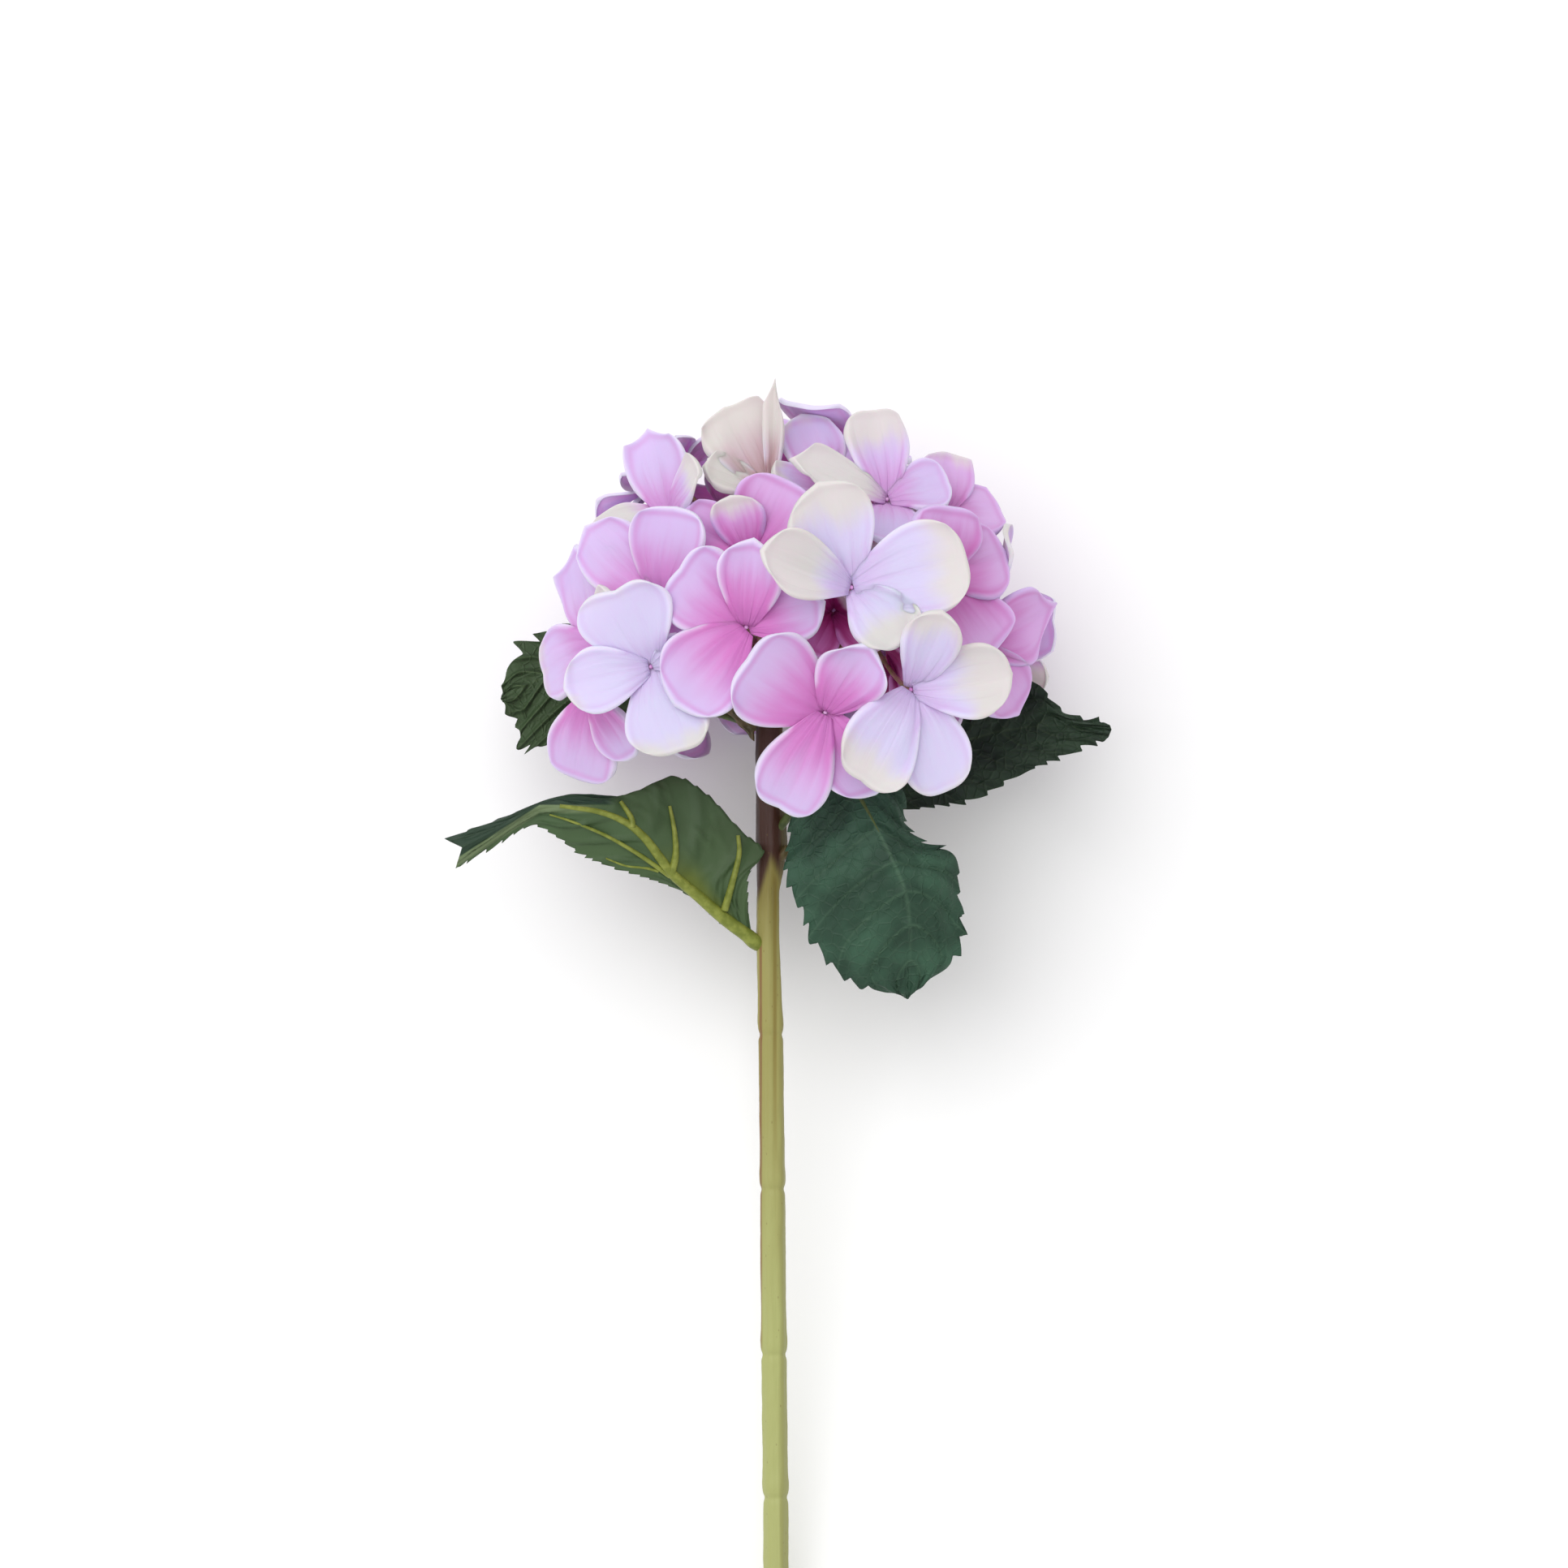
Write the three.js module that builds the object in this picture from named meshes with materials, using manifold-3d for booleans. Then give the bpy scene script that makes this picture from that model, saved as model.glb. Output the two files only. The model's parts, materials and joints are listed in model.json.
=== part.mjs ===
// A cut hydrangea: one mophead of florets on a leafy stem, lying on its back on a table.
// Millimetres, +Z up. The origin is on the table, under the middle of the flower's bounding box.
//
// The flower is drawn standing up, in the plant's own frame: x runs across it, y up the stem and
// z out of its front. The origin there is the crown, where the stem enters the flower head.
// The last lines lay that frame down on the table.

import * as THREE from "three";
import { mergeVertices } from "three/addons/utils/BufferGeometryUtils.js";
import Module from "manifold-3d";

const wasm = await Module();
wasm.setup();

const rad = THREE.MathUtils.degToRad;
const vec = (x, y, z) => new THREE.Vector3(x, y, z);

// Lying on the table
const LEAN = rad(8.8); // the stem climbs this much from its cut end to the head
const CROWN_HEIGHT = 55.6; // of the crown above the table
const MIDDLE = vec(3.75, -121.91, 0); // of the lying flower's bounding box, as seen from the crown
const REST_GAP = 0.7; // the middle of a sepal that lies on the table is this high
const REST_SOFTNESS = 5; // a sepal starts to bend this far above the table

// Flower head
const HEAD = vec(7, 36, 0); // middle of the dome of florets
const DOME = { across: 62, up: 55, down: 42, front: 56, back: 54 }; // radii to the florets' middles
const OPEN_BELOW = 0.62; // florets stop this far down the dome, where the stem comes in
const GOLDEN_ANGLE = Math.PI * (3 - Math.sqrt(5));
const OUTER_FLORETS = 46; // evenly over the whole dome, before the open part and the front go
const INNER_FLORETS = 24;
const INNER_SHARE = 0.7; // the inner florets' dome is this much of the outer one
const OUTER_SPACING = 25; // a side floret keeps this far from the front ones
const GAP = 0.4; // between any two florets, leaves or the stem
const CORNER_GAP = 0.004; // between any two corners of one floret

// One floret
const SEPAL_THICKNESS = 1.0;
const SEPAL_ROWS = 3; // along the sepal
const SEPAL_COLUMNS = 2; // across it
const CLAW_REACH = 1.0; // from the floret's middle to the foot of a sepal
const CLAW_WIDTH = 0.14; // the foot's width, as a share of the sepal's
const WIDEST = 0.8 * Math.PI; // the width follows a sine that reaches this phase at the tip
const TIP_ROUND = 0.14; // how far the tip's corners are drawn back, as a share of the length
const PAIR_STEP = 1.2; // the second and fourth sepals stand this much above the others
const BUD_RADIUS = 2.3;
const PEDICEL_RADIUS = 0.8;
const PEDICEL_SIDES = 5;
const PEDICEL_STRAIGHT = 0.4; // the share of its way that a pedicel heads straight back
const FEET_TRIED = 12; // nearest places on the branches that a pedicel may reach
const LIFT_STEP = 5; // degrees by which a crowded sepal is lifted or lowered
const LIFT_STEPS = 9;
const SHORTEN_STEP = 0.12; // and the share by which it is shortened where that isn't enough
const SHORTEST = 0.5;
const LEAST_SEPALS = 2; // a floret with room for fewer is left out

// Branches of the head, from the crown
const BRANCHES = 12;
const BRANCH_SHARE = 0.5; // of the dome's radii
const BRANCH_RADII = [2.2, 1.5];
const BRANCH_SIDES = 5;
const BRANCH_FEET = [0.5, 0.62, 0.75, 0.87, 0.98]; // where pedicels meet it, from the crown
const BRANCH_START = 6; // height of the branches' common start above the crown

// Stem: height, sideways place, radius
const STEM_COURSE = [
  [12, 0.8, 4.0],
  [4, 0, 4.0],
  [-6, -0.2, 4.1],
  [-22, 0.4, 4.6],
  [-34, 0.7, 4.9],
  [-40, 0.4, 4.3],
  [-48, -0.4, 3.5],
  [-62, -0.5, 3.6],
  [-90, 0.4, 3.9],
  [-140, 1.0, 3.85],
  [-190, 1.4, 3.8],
  [-240, 2.0, 3.75],
  [-343, 2.2, 3.75],
];
const STEM_JOINTS = [-92.5, -140, -191, -235, -281, -324]; // old leaf joints, each a shallow groove
const JOINT_DEPTH = 0.4;
const JOINT_REACH = 2;
const STEM_SIDES = 8;
const CUT_SLANT = 5; // the cut end is this much longer on one side

// Leaves. Each blade is a list of lines from its foot to its tip, the first one margin and the
// last the other, as [x, y, z]; the middle one carries the rib. The stalk runs from the stem.
const LEAF_ROWS = 9;
const LEAF_THICKNESS = 0.9;
const STALK_RADIUS = 1.5;
const STALK_SIDES = 6;
const RIB_SHARE = 0.7; // the rib is modelled up to this part of the blade

const LEAVES = {
  left_leaf: {
    stalk: [[-5.8, -61.5, 1.4], [-10, -59, 3.5], [-17, -54.5, 6.5]],
    blade: [
      [[-12, -58, 4], [-31, -47, 9], [-53, -40, 16], [-71, -29, 23], [-84, -34, 27], [-95, -40, 27]],
      [[-11.5, -57.5, 4.5], [-30, -42, 13], [-51, -24, 21], [-68, -22, 26], [-83, -30, 30], [-98, -33, 28]],
      [[-7, -52, 7.5], [-2.5, -35, 8], [-22, -16, 9], [-40, -16, 14], [-64, -19.5, 22], [-97, -30, 25]],
    ],
  },
  right_leaf: {
    stalk: [[5.2, -26, 4.2], [10, -18, 9], [20, -9, 17]],
    blade: [
      [[14, -10, 16], [6.5, -25, 20], [6, -42, 22], [12.5, -61, 22], [24, -74.5, 19], [41, -80, 15]],
      [[22, -7, 18], [29, -25, 29], [38, -42, 31], [41, -56, 28], [42, -68, 22], [42.3, -81, 15]],
      [[33, -6, 17], [41, -21, 22], [45, -33, 24], [57, -38, 24], [60, -56, 21], [55, -69, 18], [43.5, -80, 15]],
    ],
  },
  right_back_leaf: {
    stalk: [[5.6, -14, -2.4], [14, -9, -6], [26, -8, -8]],
    blade: [
      [[24, -13, -9], [38, -23.5, -8], [58, -23, -9], [78, -14, -10], [94, -6, -8], [104.5, 0, -4]],
      [[24, -7, -9], [42, -6, -12], [60, -2, -16], [78, 2, -15], [92, 2, -10], [105.5, 1, -4]],
      [[30, 2, -11], [44, 14, -16], [60, 21, -22], [76, 20, -20], [90, 9.5, -12], [105, 2, -4]],
    ],
  },
  left_back_leaf: {
    stalk: [[-5.2, 3, -2.6], [-14, 6, -7], [-26, 9, -11]],
    blade: [
      [[-26, 3, -12], [-42, -2, -14], [-60, -5, -15], [-75, -4, -13], [-79, 4, -11], [-82, 10.5, -9]],
      [[-25, 7, -12], [-38, 13, -17], [-52, 17, -19], [-66, 18.5, -17], [-76, 15, -12], [-83, 11, -9]],
      [[-28, 14, -13], [-40, 27, -18], [-55, 33, -22], [-70, 29.5, -19], [-79, 22, -13], [-82.5, 12.5, -9]],
    ],
  },
};

// The dark scale under the head: [x, y, z] lines, as for a leaf
const BRACT = [
  [[-4.6, -2, 3], [-10, 4, 6], [-18, 11, 9]],
  [[-4.8, 1, 6], [-9, 8, 10], [-16, 14, 13]],
  [[-3, 5, 5.6], [-6, 12, 9], [-12, 17, 12]],
];
const BRACT_THICKNESS = 1.2;

// The florets of the front, placed one by one. at is the floret's middle; face is how far it looks
// to the right and up, in degrees; each sepal is [direction, length, width, lift, curl, cup]:
// direction counts anticlockwise from the right, lift is its slope at the foot and curl what is
// added on the way to the tip, in degrees; cup is the rise of its edges, as a share of its width.
const FRONT_FLORETS = {
  pale_right: { at: [25, 44, 62], face: [8, 6], sepals: [
    [112, 31, 26, 14, 0, 0.1], [14, 35, 28, 10, -6, 0.12],
    [-50, 23, 21, 22, -24, 0.14], [166, 31, 20, 16, 10, 0.2]] },
  pale_left: { at: [-36, 20, 54], face: [-16, -4], sepals: [
    [109, 27, 28, 14, 4, 0.18], [192, 25, 20, 14, 8, 0.2],
    [-74, 27, 25, 10, -10, 0.08], [28, 14, 11, -16, -10, 0.1]] },
  pale_low: { at: [43, 13, 58], face: [12, -6], sepals: [
    [74, 28, 18, 18, 4, 0.16], [9, 29, 22, 10, -4, 0.16],
    [-67, 32, 21, 6, -8, 0.08], [236, 32, 24, 12, -8, 0.1]] },
  pink_low: { at: [17, 6, 56], face: [2, -10], sepals: [
    [146, 31, 29, 12, 6, 0.18], [242, 32, 22, 6, -6, 0.12],
    [-62, 28, 21, 0, 0, 0.16], [60, 25, 22, 20, 0, 0.3]] },
  pink_middle: { at: [-7, 32, 58], face: [-6, 2], sepals: [
    [143, 27, 25, 14, -6, 0.12], [80, 25, 20, 22, -14, 0.3],
    [20, 23, 19, 12, -16, 0.1], [226, 30, 27, 6, -12, 0.1]] },
  rose_left: { at: [-33, 40, 46], face: [-22, 14], sepals: [
    [82, 28, 24, 16, 0, 0.2], [138, 33, 22, 4, -8, 0.1],
    [220, 20, 18, 0, -10, 0.1], [-30, 20, 18, 0, -10, 0.1]] },
  edge_left: { at: [-53, 28, 32], face: [-52, 4], sepals: [
    [112, 28, 23, 6, -10, 0.1], [203, 26, 24, 8, -16, 0.1],
    [-70, 20, 18, 4, 0, 0.1], [30, 22, 18, 8, 0, 0.1]] },
  drop_left: { at: [-54, 12, 38], face: [-24, -22], sepals: [
    [250, 29, 22, 2, -6, 0.1], [-62, 23, 15, 4, 0, 0.16],
    [150, 19, 17, 6, 0, 0.1], [60, 16, 14, 0, 0, 0.1]] },
  crest_cream: { at: [0, 74, 31], face: [-2, 36], sepals: [
    [119, 28, 22, 24, 8, 0.2], [80, 28, 7, 34, 10, 0.3],
    [-70, 18, 18, 10, 0, 0.16], [170, 20, 14, 16, 10, 0.2]] },
  crest_left: { at: [-31, 67, 33], face: [-30, 40], sepals: [
    [112, 26, 20, 18, 10, 0.2], [36, 19, 16, 30, 10, 0.2],
    [205, 25, 20, 8, -6, 0.16], [-70, 20, 18, 4, 0, 0.16]] },
  crest_right: { at: [36, 72, 37], face: [12, 36], sepals: [
    [96, 27, 19, 20, 12, 0.14], [168, 29, 17, 14, 0, 0.2],
    [-95, 20, 22, 8, 0, 0.1], [10, 20, 20, 6, -10, 0.1]] },
  crest_middle: { at: [18, 75, 29], face: [6, 40], sepals: [
    [104, 24, 20, 14, 6, 0.16], [40, 20, 17, 8, 0, 0.14],
    [190, 19, 16, 8, 0, 0.1], [-70, 16, 15, 4, 0, 0.1]] },
  rose_right: { at: [51, 47, 43], face: [32, 10], sepals: [
    [84, 22, 25, 6, -8, 0.1], [20, 25, 24, 4, -10, 0.1],
    [-58, 27, 26, 6, -10, 0.1], [190, 17, 16, 0, -10, 0.1]] },
  edge_right: { at: [62, 27, 30], face: [46, -4], sepals: [
    [18, 30, 24, 6, -10, 0.18], [-50, 25, 22, 10, -6, 0.2],
    [120, 20, 20, 6, 0, 0.1], [215, 20, 18, 4, 0, 0.1]] },
  rose_high: { at: [-6, 54, 50], face: [-4, 22], sepals: [
    [62, 25, 25, 14, 0, 0.14], [150, 25, 20, 6, -6, 0.2],
    [105, 18, 16, 30, 0, 0.1], [-40, 18, 18, 0, 0, 0.1]] },
  cream_right: { at: [54, 68, 27], face: [34, 36], sepals: [
    [176, 25, 18, 14, 0, 0.2], [75, 20, 20, 8, 0, 0.1],
    [0, 20, 20, 4, -8, 0.1], [-80, 18, 18, 2, 0, 0.1]] },
};

// ---- Solids ----

// A manifold-3d solid of a closed triangle list, and back to a three.js geometry
function solidFrom(points, triangles) {
  return new wasm.Manifold(
    new wasm.Mesh({
      numProp: 3,
      vertProperties: new Float32Array(points.flatMap((p) => p.toArray())),
      triVerts: new Uint32Array(triangles.flat()),
    }),
  );
}

function solidFromGeometry(geometry) {
  geometry.deleteAttribute("normal");
  geometry.deleteAttribute("uv");
  const merged = mergeVertices(geometry, 1e-3);
  return new wasm.Manifold(
    new wasm.Mesh({
      numProp: 3,
      vertProperties: merged.attributes.position.array,
      triVerts: new Uint32Array(merged.index.array),
    }),
  );
}

function geometryFrom(solid) {
  const mesh = solid.getMesh();
  const geometry = new THREE.BufferGeometry();
  geometry.setAttribute("position", new THREE.BufferAttribute(mesh.vertProperties, 3));
  geometry.setIndex(new THREE.BufferAttribute(mesh.triVerts, 1));
  return geometry;
}

// A round limb through a list of points, each with its own radius, closed at both ends. The end
// can be slanted, so that it is longer on one side.
function limb(points, radii, sides, slant = 0) {
  const reference = vec(0.31, 0.17, 0.93);
  const vertices = points.flatMap((point, i) => {
    const before = points[Math.max(i - 1, 0)];
    const after = points[Math.min(i + 1, points.length - 1)];
    const along = after.clone().sub(before).normalize();
    const side = reference.clone().addScaledVector(along, -reference.dot(along)).normalize();
    const across = along.clone().cross(side);
    const longer = i === points.length - 1 ? slant / 2 : 0;
    return Array.from({ length: sides }, (_, k) => {
      const turn = (2 * Math.PI * k) / sides;
      return point
        .clone()
        .addScaledVector(side, radii[i] * Math.cos(turn))
        .addScaledVector(across, radii[i] * Math.sin(turn))
        .addScaledVector(along, longer * Math.cos(turn));
    });
  });
  const triangles = [];
  for (let i = 0; i + 1 < points.length; i++)
    for (let k = 0; k < sides; k++) {
      const [a, b] = [i * sides + k, i * sides + ((k + 1) % sides)];
      triangles.push([a, b, b + sides], [a, b + sides, a + sides]);
    }
  const last = (points.length - 1) * sides;
  for (let k = 1; k + 1 < sides; k++) {
    triangles.push([0, k + 1, k]);
    triangles.push([last, last + k, last + k + 1]);
  }
  return solidFrom(vertices, triangles);
}

// A thin closed blade on a grid of points: the two skins share the rim and part in the middle.
// No triangle has all its corners on the rim, where the two skins' triangles would coincide.
function bladeSolid(grid, thickness) {
  const rows = grid.length - 1;
  const columns = grid[0].length - 1;
  const points = [];
  const skins = [-1, 1].map((side) =>
    grid.map((row, i) =>
      row.map((p, j) => {
        const inner = i > 0 && i < rows && j > 0 && j < columns;
        if (!inner) return null;
        const up = grid[i + 1][j].clone().sub(grid[i - 1][j]);
        const over = grid[i][j + 1].clone().sub(grid[i][j - 1]);
        const normal = up.cross(over).normalize();
        points.push(p.clone().addScaledVector(normal, (side * thickness) / 2));
        return points.length - 1;
      }),
    ),
  );
  grid.forEach((row, i) =>
    row.forEach((p, j) => {
      if (skins[0][i][j] !== null) return;
      skins[0][i][j] = skins[1][i][j] = points.length;
      points.push(p);
    }),
  );
  const triangles = [];
  for (let i = 0; i < rows; i++)
    for (let j = 0; j < columns; j++)
      skins.forEach((skin, front) => {
        const [a, b, c, d] = [skin[i][j], skin[i + 1][j], skin[i + 1][j + 1], skin[i][j + 1]];
        const towardsMiddle = j < columns / 2 === i < rows / 2;
        const split = towardsMiddle ? [[a, b, c], [a, c, d]] : [[a, b, d], [b, c, d]];
        triangles.push(...(front ? split : split.map(([x, y, z]) => [x, z, y])));
      });
  return solidFrom(points, triangles);
}

const solved = []; // what later pieces have to clear

const keepClearOf = (solid) => solved.push({ solid, box: solid.boundingBox() });

function clears(solid, others) {
  const box = solid.boundingBox();
  return others.every((other) => {
    const far = [0, 1, 2].some(
      (k) => box.min[k] - GAP > other.box.max[k] || other.box.min[k] > box.max[k] + GAP,
    );
    return far || solid.minGap(other.solid, 2 * GAP) >= GAP;
  });
}

// ---- Table ----

const TABLE_UP = vec(0, Math.sin(LEAN), Math.cos(LEAN));

// Moves a point that would be under the table up to it, with a soft bend just above it.
function layOnTable(p) {
  const over = p.dot(TABLE_UP) + CROWN_HEIGHT - REST_GAP;
  if (over >= REST_SOFTNESS) return p;
  const eased = over <= -REST_SOFTNESS ? 0 : (over + REST_SOFTNESS) ** 2 / (4 * REST_SOFTNESS);
  return p.addScaledVector(TABLE_UP, eased - over);
}

// ---- Stem and its branches ----

function spread(count) {
  return Array.from({ length: count }, (_, i) => {
    const y = 1 - (2 * i + 1) / count;
    const r = Math.sqrt(1 - y * y);
    return vec(r * Math.cos(i * GOLDEN_ANGLE), y, r * Math.sin(i * GOLDEN_ANGLE));
  });
}

function domePoint(direction, share) {
  return vec(
    direction.x * DOME.across,
    direction.y * (direction.y > 0 ? DOME.up : DOME.down),
    direction.z * (direction.z > 0 ? DOME.front : DOME.back),
  )
    .multiplyScalar(share)
    .add(HEAD);
}

// The stem's sideways place and radius at a height.
function stemAt(y) {
  const below = STEM_COURSE.findIndex(([height]) => height <= y);
  if (below <= 0) return STEM_COURSE[0].slice(1);
  const [y1, x1, r1] = STEM_COURSE[below - 1];
  const [y0, x0, r0] = STEM_COURSE[below];
  const share = (y - y0) / (y1 - y0);
  return [x0 + share * (x1 - x0), r0 + share * (r1 - r0)];
}

const branchCurves = spread(BRANCHES).map((direction) => {
  const start = vec(HEAD.x * 0.1, BRANCH_START, 0);
  const end = domePoint(direction, BRANCH_SHARE);
  const bend = vec(HEAD.x + (end.x - HEAD.x) * 0.25, HEAD.y * 0.45, end.z * 0.25);
  return new THREE.QuadraticBezierCurve3(start, bend, end);
});

function stem() {
  const joints = STEM_JOINTS.flatMap((y) => [y + JOINT_REACH, y, y - JOINT_REACH]);
  const heights = [...STEM_COURSE.map(([y]) => y), ...joints].sort((a, b) => b - a);
  const points = heights.map((y) => vec(stemAt(y)[0], y, 0));
  const radii = heights.map((y) => stemAt(y)[1] - (STEM_JOINTS.includes(y) ? JOINT_DEPTH : 0));
  let solid = limb(points, radii, STEM_SIDES, CUT_SLANT);
  for (const curve of branchCurves) {
    const steps = curve.getPoints(3);
    const thinning = steps.map((_, i) => THREE.MathUtils.lerp(...BRANCH_RADII, i / 3));
    solid = solid.add(limb(steps, thinning, BRANCH_SIDES));
  }
  return solid;
}

// ---- Leaves and bract ----

const curveThrough = (line) => new THREE.CatmullRomCurve3(line.map((p) => vec(...p)));

function bladeGrid(lines, rows) {
  const curves = lines.map(curveThrough);
  return Array.from({ length: rows + 1 }, (_, i) => {
    const [left, rib, right] = curves.map((curve) => curve.getPoint(i / rows));
    const between = (edge) => edge.clone().lerp(rib, 0.5);
    return [left, between(left), rib, between(right), right];
  });
}

function leaf({ stalk, blade }) {
  const rib = curveThrough(blade[1]);
  const ribPoints = [0.1, 0.3, 0.5, 1].map((share) => rib.getPoint(share * RIB_SHARE));
  const points = [...stalk.map((p) => vec(...p)), ...ribPoints];
  const radii = points.map((_, i) => STALK_RADIUS * (1 - (0.6 * i) / (points.length - 1)));
  const midrib = limb(points, radii, STALK_SIDES);
  return bladeSolid(bladeGrid(blade, LEAF_ROWS), LEAF_THICKNESS).add(midrib);
}

// ---- Florets ----

// A repeatable number from 0 to 1.
function chance(n) {
  const s = Math.sin(n * 127.1 + 11.7) * 43758.5453;
  return s - Math.floor(s);
}

const facing = ([right, up]) =>
  vec(
    Math.sin(rad(right)) * Math.cos(rad(up)),
    Math.sin(rad(up)),
    Math.cos(rad(right)) * Math.cos(rad(up)),
  );

function placed({ at, face, sepals }) {
  const out = facing(face);
  const right = vec(0, 1, 0).cross(out).normalize();
  return { at: vec(...at), out, right, up: out.clone().cross(right), sepals };
}

// A point of a sepal's middle surface: u from foot to tip, v from edge to edge.
function sepalPoint(floret, sepal, order, u, v) {
  const [direction, length, width, lift, curl, cup] = sepal;
  const [cos, sin] = [Math.cos(rad(direction)), Math.sin(rad(direction))];
  const slope = rad(lift + (curl * u) / 2);
  const reach = length * (u - TIP_ROUND * v * v * u ** 3);
  const halfWidth = (width / 2) * (CLAW_WIDTH + (1 - CLAW_WIDTH) * Math.sin(WIDEST * u));
  const rise = cup * (width / 2) * v * v * u + PAIR_STEP * (order % 2);
  const outward = CLAW_REACH + reach * Math.cos(slope);
  const point = floret.at
    .clone()
    .addScaledVector(floret.right, outward * cos - halfWidth * v * sin)
    .addScaledVector(floret.up, outward * sin + halfWidth * v * cos)
    .addScaledVector(floret.out, reach * Math.sin(slope) + rise);
  return layOnTable(point);
}

function sepalSolid(floret, sepal, order) {
  const grid = Array.from({ length: SEPAL_ROWS + 1 }, (_, i) =>
    Array.from({ length: SEPAL_COLUMNS + 1 }, (_, j) =>
      sepalPoint(floret, sepal, order, i / SEPAL_ROWS, (2 * j) / SEPAL_COLUMNS - 1),
    ),
  );
  return bladeSolid(grid, SEPAL_THICKNESS);
}

// Whether no two corners of a solid are almost in the same place, as a grazing cut leaves them.
function crisp(solid) {
  const geometry = geometryFrom(solid);
  const merged = mergeVertices(geometry, CORNER_GAP);
  return merged.attributes.position.count === geometry.attributes.position.count;
}

// Joins a sepal to its floret at its own lift, or a little higher or lower, or shorter, so that it
// clears the others. A sepal that has no room is left out.
function addSepal(floret, body, sepal, order, others) {
  const [direction, length, width, lift, curl, cup] = sepal;
  for (let share = 1; share > SHORTEST; share -= SHORTEN_STEP)
    for (let step = 0; step <= LIFT_STEPS; step++)
      for (const sign of step ? [1, -1] : [1]) {
        const tried = [direction, length * share, width, lift + sign * step * LIFT_STEP, curl, cup];
        const solid = sepalSolid(floret, tried, order);
        if (!clears(solid, others)) continue;
        const joined = body.add(solid);
        if (crisp(joined)) return joined;
      }
  return body;
}

const branchFeet = branchCurves.flatMap((curve) => BRANCH_FEET.map((t) => curve.getPoint(t)));

function pedicel(floret, foot) {
  const way = floret.at.distanceTo(foot) * PEDICEL_STRAIGHT;
  const straight = floret.at.clone().addScaledVector(floret.out, -way);
  const arriving = foot.clone().sub(straight).normalize();
  const end = foot.clone().addScaledVector(arriving, -(BRANCH_RADII[0] + GAP));
  const points = new THREE.QuadraticBezierCurve3(floret.at, straight, end).getPoints(3);
  return limb(points, points.map(() => PEDICEL_RADIUS), PEDICEL_SIDES);
}

// The bud of a floret with a pedicel to the nearest free place on a branch, or null if none is free.
function budAndPedicel(floret) {
  const bud = new THREE.IcosahedronGeometry(BUD_RADIUS);
  bud.translate(...floret.at.toArray());
  branchFeet.sort((a, b) => a.distanceTo(floret.at) - b.distanceTo(floret.at));
  for (let i = 0; i < Math.min(FEET_TRIED, branchFeet.length); i++) {
    const solid = solidFromGeometry(bud).add(pedicel(floret, branchFeet[i]));
    if (!clears(solid, solved)) continue;
    branchFeet.splice(i, 1);
    return solid;
  }
  return null;
}

// The florets of the sides and the back, and the closer ones inside, from a rule.
function domeFloret(direction, share, number, size, lift) {
  const out = direction.clone();
  const right = vec(0, 1, 0).cross(out).normalize();
  const up = out.clone().cross(right);
  const start = 90 * chance(number);
  const sepals = [0, 1, 2, 3].map((k) => {
    const vary = (n) => chance(number * 4 + k + n * 31) - 0.5;
    return [
      start + 90 * k + 16 * vary(1),
      size * (1 + 0.2 * vary(2)),
      size * (0.86 + 0.2 * vary(3)),
      lift + 16 * vary(4),
      -6,
      0.14,
    ];
  });
  return { at: domePoint(direction, share), out, right, up, sepals };
}

const florets = {};
for (const [name, spec] of Object.entries(FRONT_FLORETS)) florets[`floret_${name}`] = placed(spec);
const open = (direction) => direction.y > -OPEN_BELOW;
spread(OUTER_FLORETS).forEach((direction, i) => {
  const floret = domeFloret(direction, 1, i, 27, 6);
  const apart = Object.values(florets).every(
    (other) => other.at.distanceTo(floret.at) > (other.outer ? 0 : OUTER_SPACING),
  );
  if (open(direction) && apart) florets[`floret_side_${i}`] = { ...floret, outer: true };
});
spread(INNER_FLORETS).forEach((direction, i) => {
  if (open(direction))
    florets[`floret_inner_${i}`] = domeFloret(direction, INNER_SHARE, 100 + i, 18, 34);
});

// ---- Assembly ----

const COLOURS = {
  stem: [0x9aa05c, 0.55],
  leaf: [0x35553a, 0.5],
  bract: [0x4f432c, 0.6],
  pale: [0xd8d0ea, 0.6],
  pink: [0xd985c6, 0.6],
  rose: [0xd9a6dd, 0.6],
  side: [0xcfa8dc, 0.6],
  inner: [0xb5559a, 0.6],
};

function piece(name, finish, solid) {
  const [color, roughness] = COLOURS[finish];
  const material = new THREE.MeshStandardMaterial({ color, roughness, metalness: 0 });
  const mesh = new THREE.Mesh(geometryFrom(solid), material);
  mesh.name = name;
  return mesh;
}

const plant = new THREE.Group();
const stemBody = stem();
keepClearOf(stemBody);
plant.add(piece("stem", "stem", stemBody));
for (const [name, spec] of Object.entries(LEAVES)) {
  const solid = leaf(spec);
  keepClearOf(solid);
  plant.add(piece(name, "leaf", solid));
}
const bract = bladeSolid(bladeGrid(BRACT, 3), BRACT_THICKNESS);
keepClearOf(bract);
plant.add(piece("crown_scale", "bract", bract));

const stalks = {};
for (const [name, floret] of Object.entries(florets)) {
  const solid = budAndPedicel(floret);
  if (!solid) continue;
  stalks[name] = solid;
  keepClearOf(solid);
}
for (const [name, stalk] of Object.entries(stalks)) {
  const floret = florets[name];
  const others = solved.filter((other) => other.solid !== stalk);
  let solid = stalk;
  let count = 0;
  floret.sepals.forEach((sepal, order) => {
    const joined = addSepal(floret, solid, sepal, order, others);
    if (joined !== solid) count += 1;
    solid = joined;
  });
  if (count < LEAST_SEPALS) continue;
  keepClearOf(solid);
  const finish = name.split("_")[1];
  plant.add(piece(name, COLOURS[finish] ? finish : "rose", solid));
}

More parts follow.
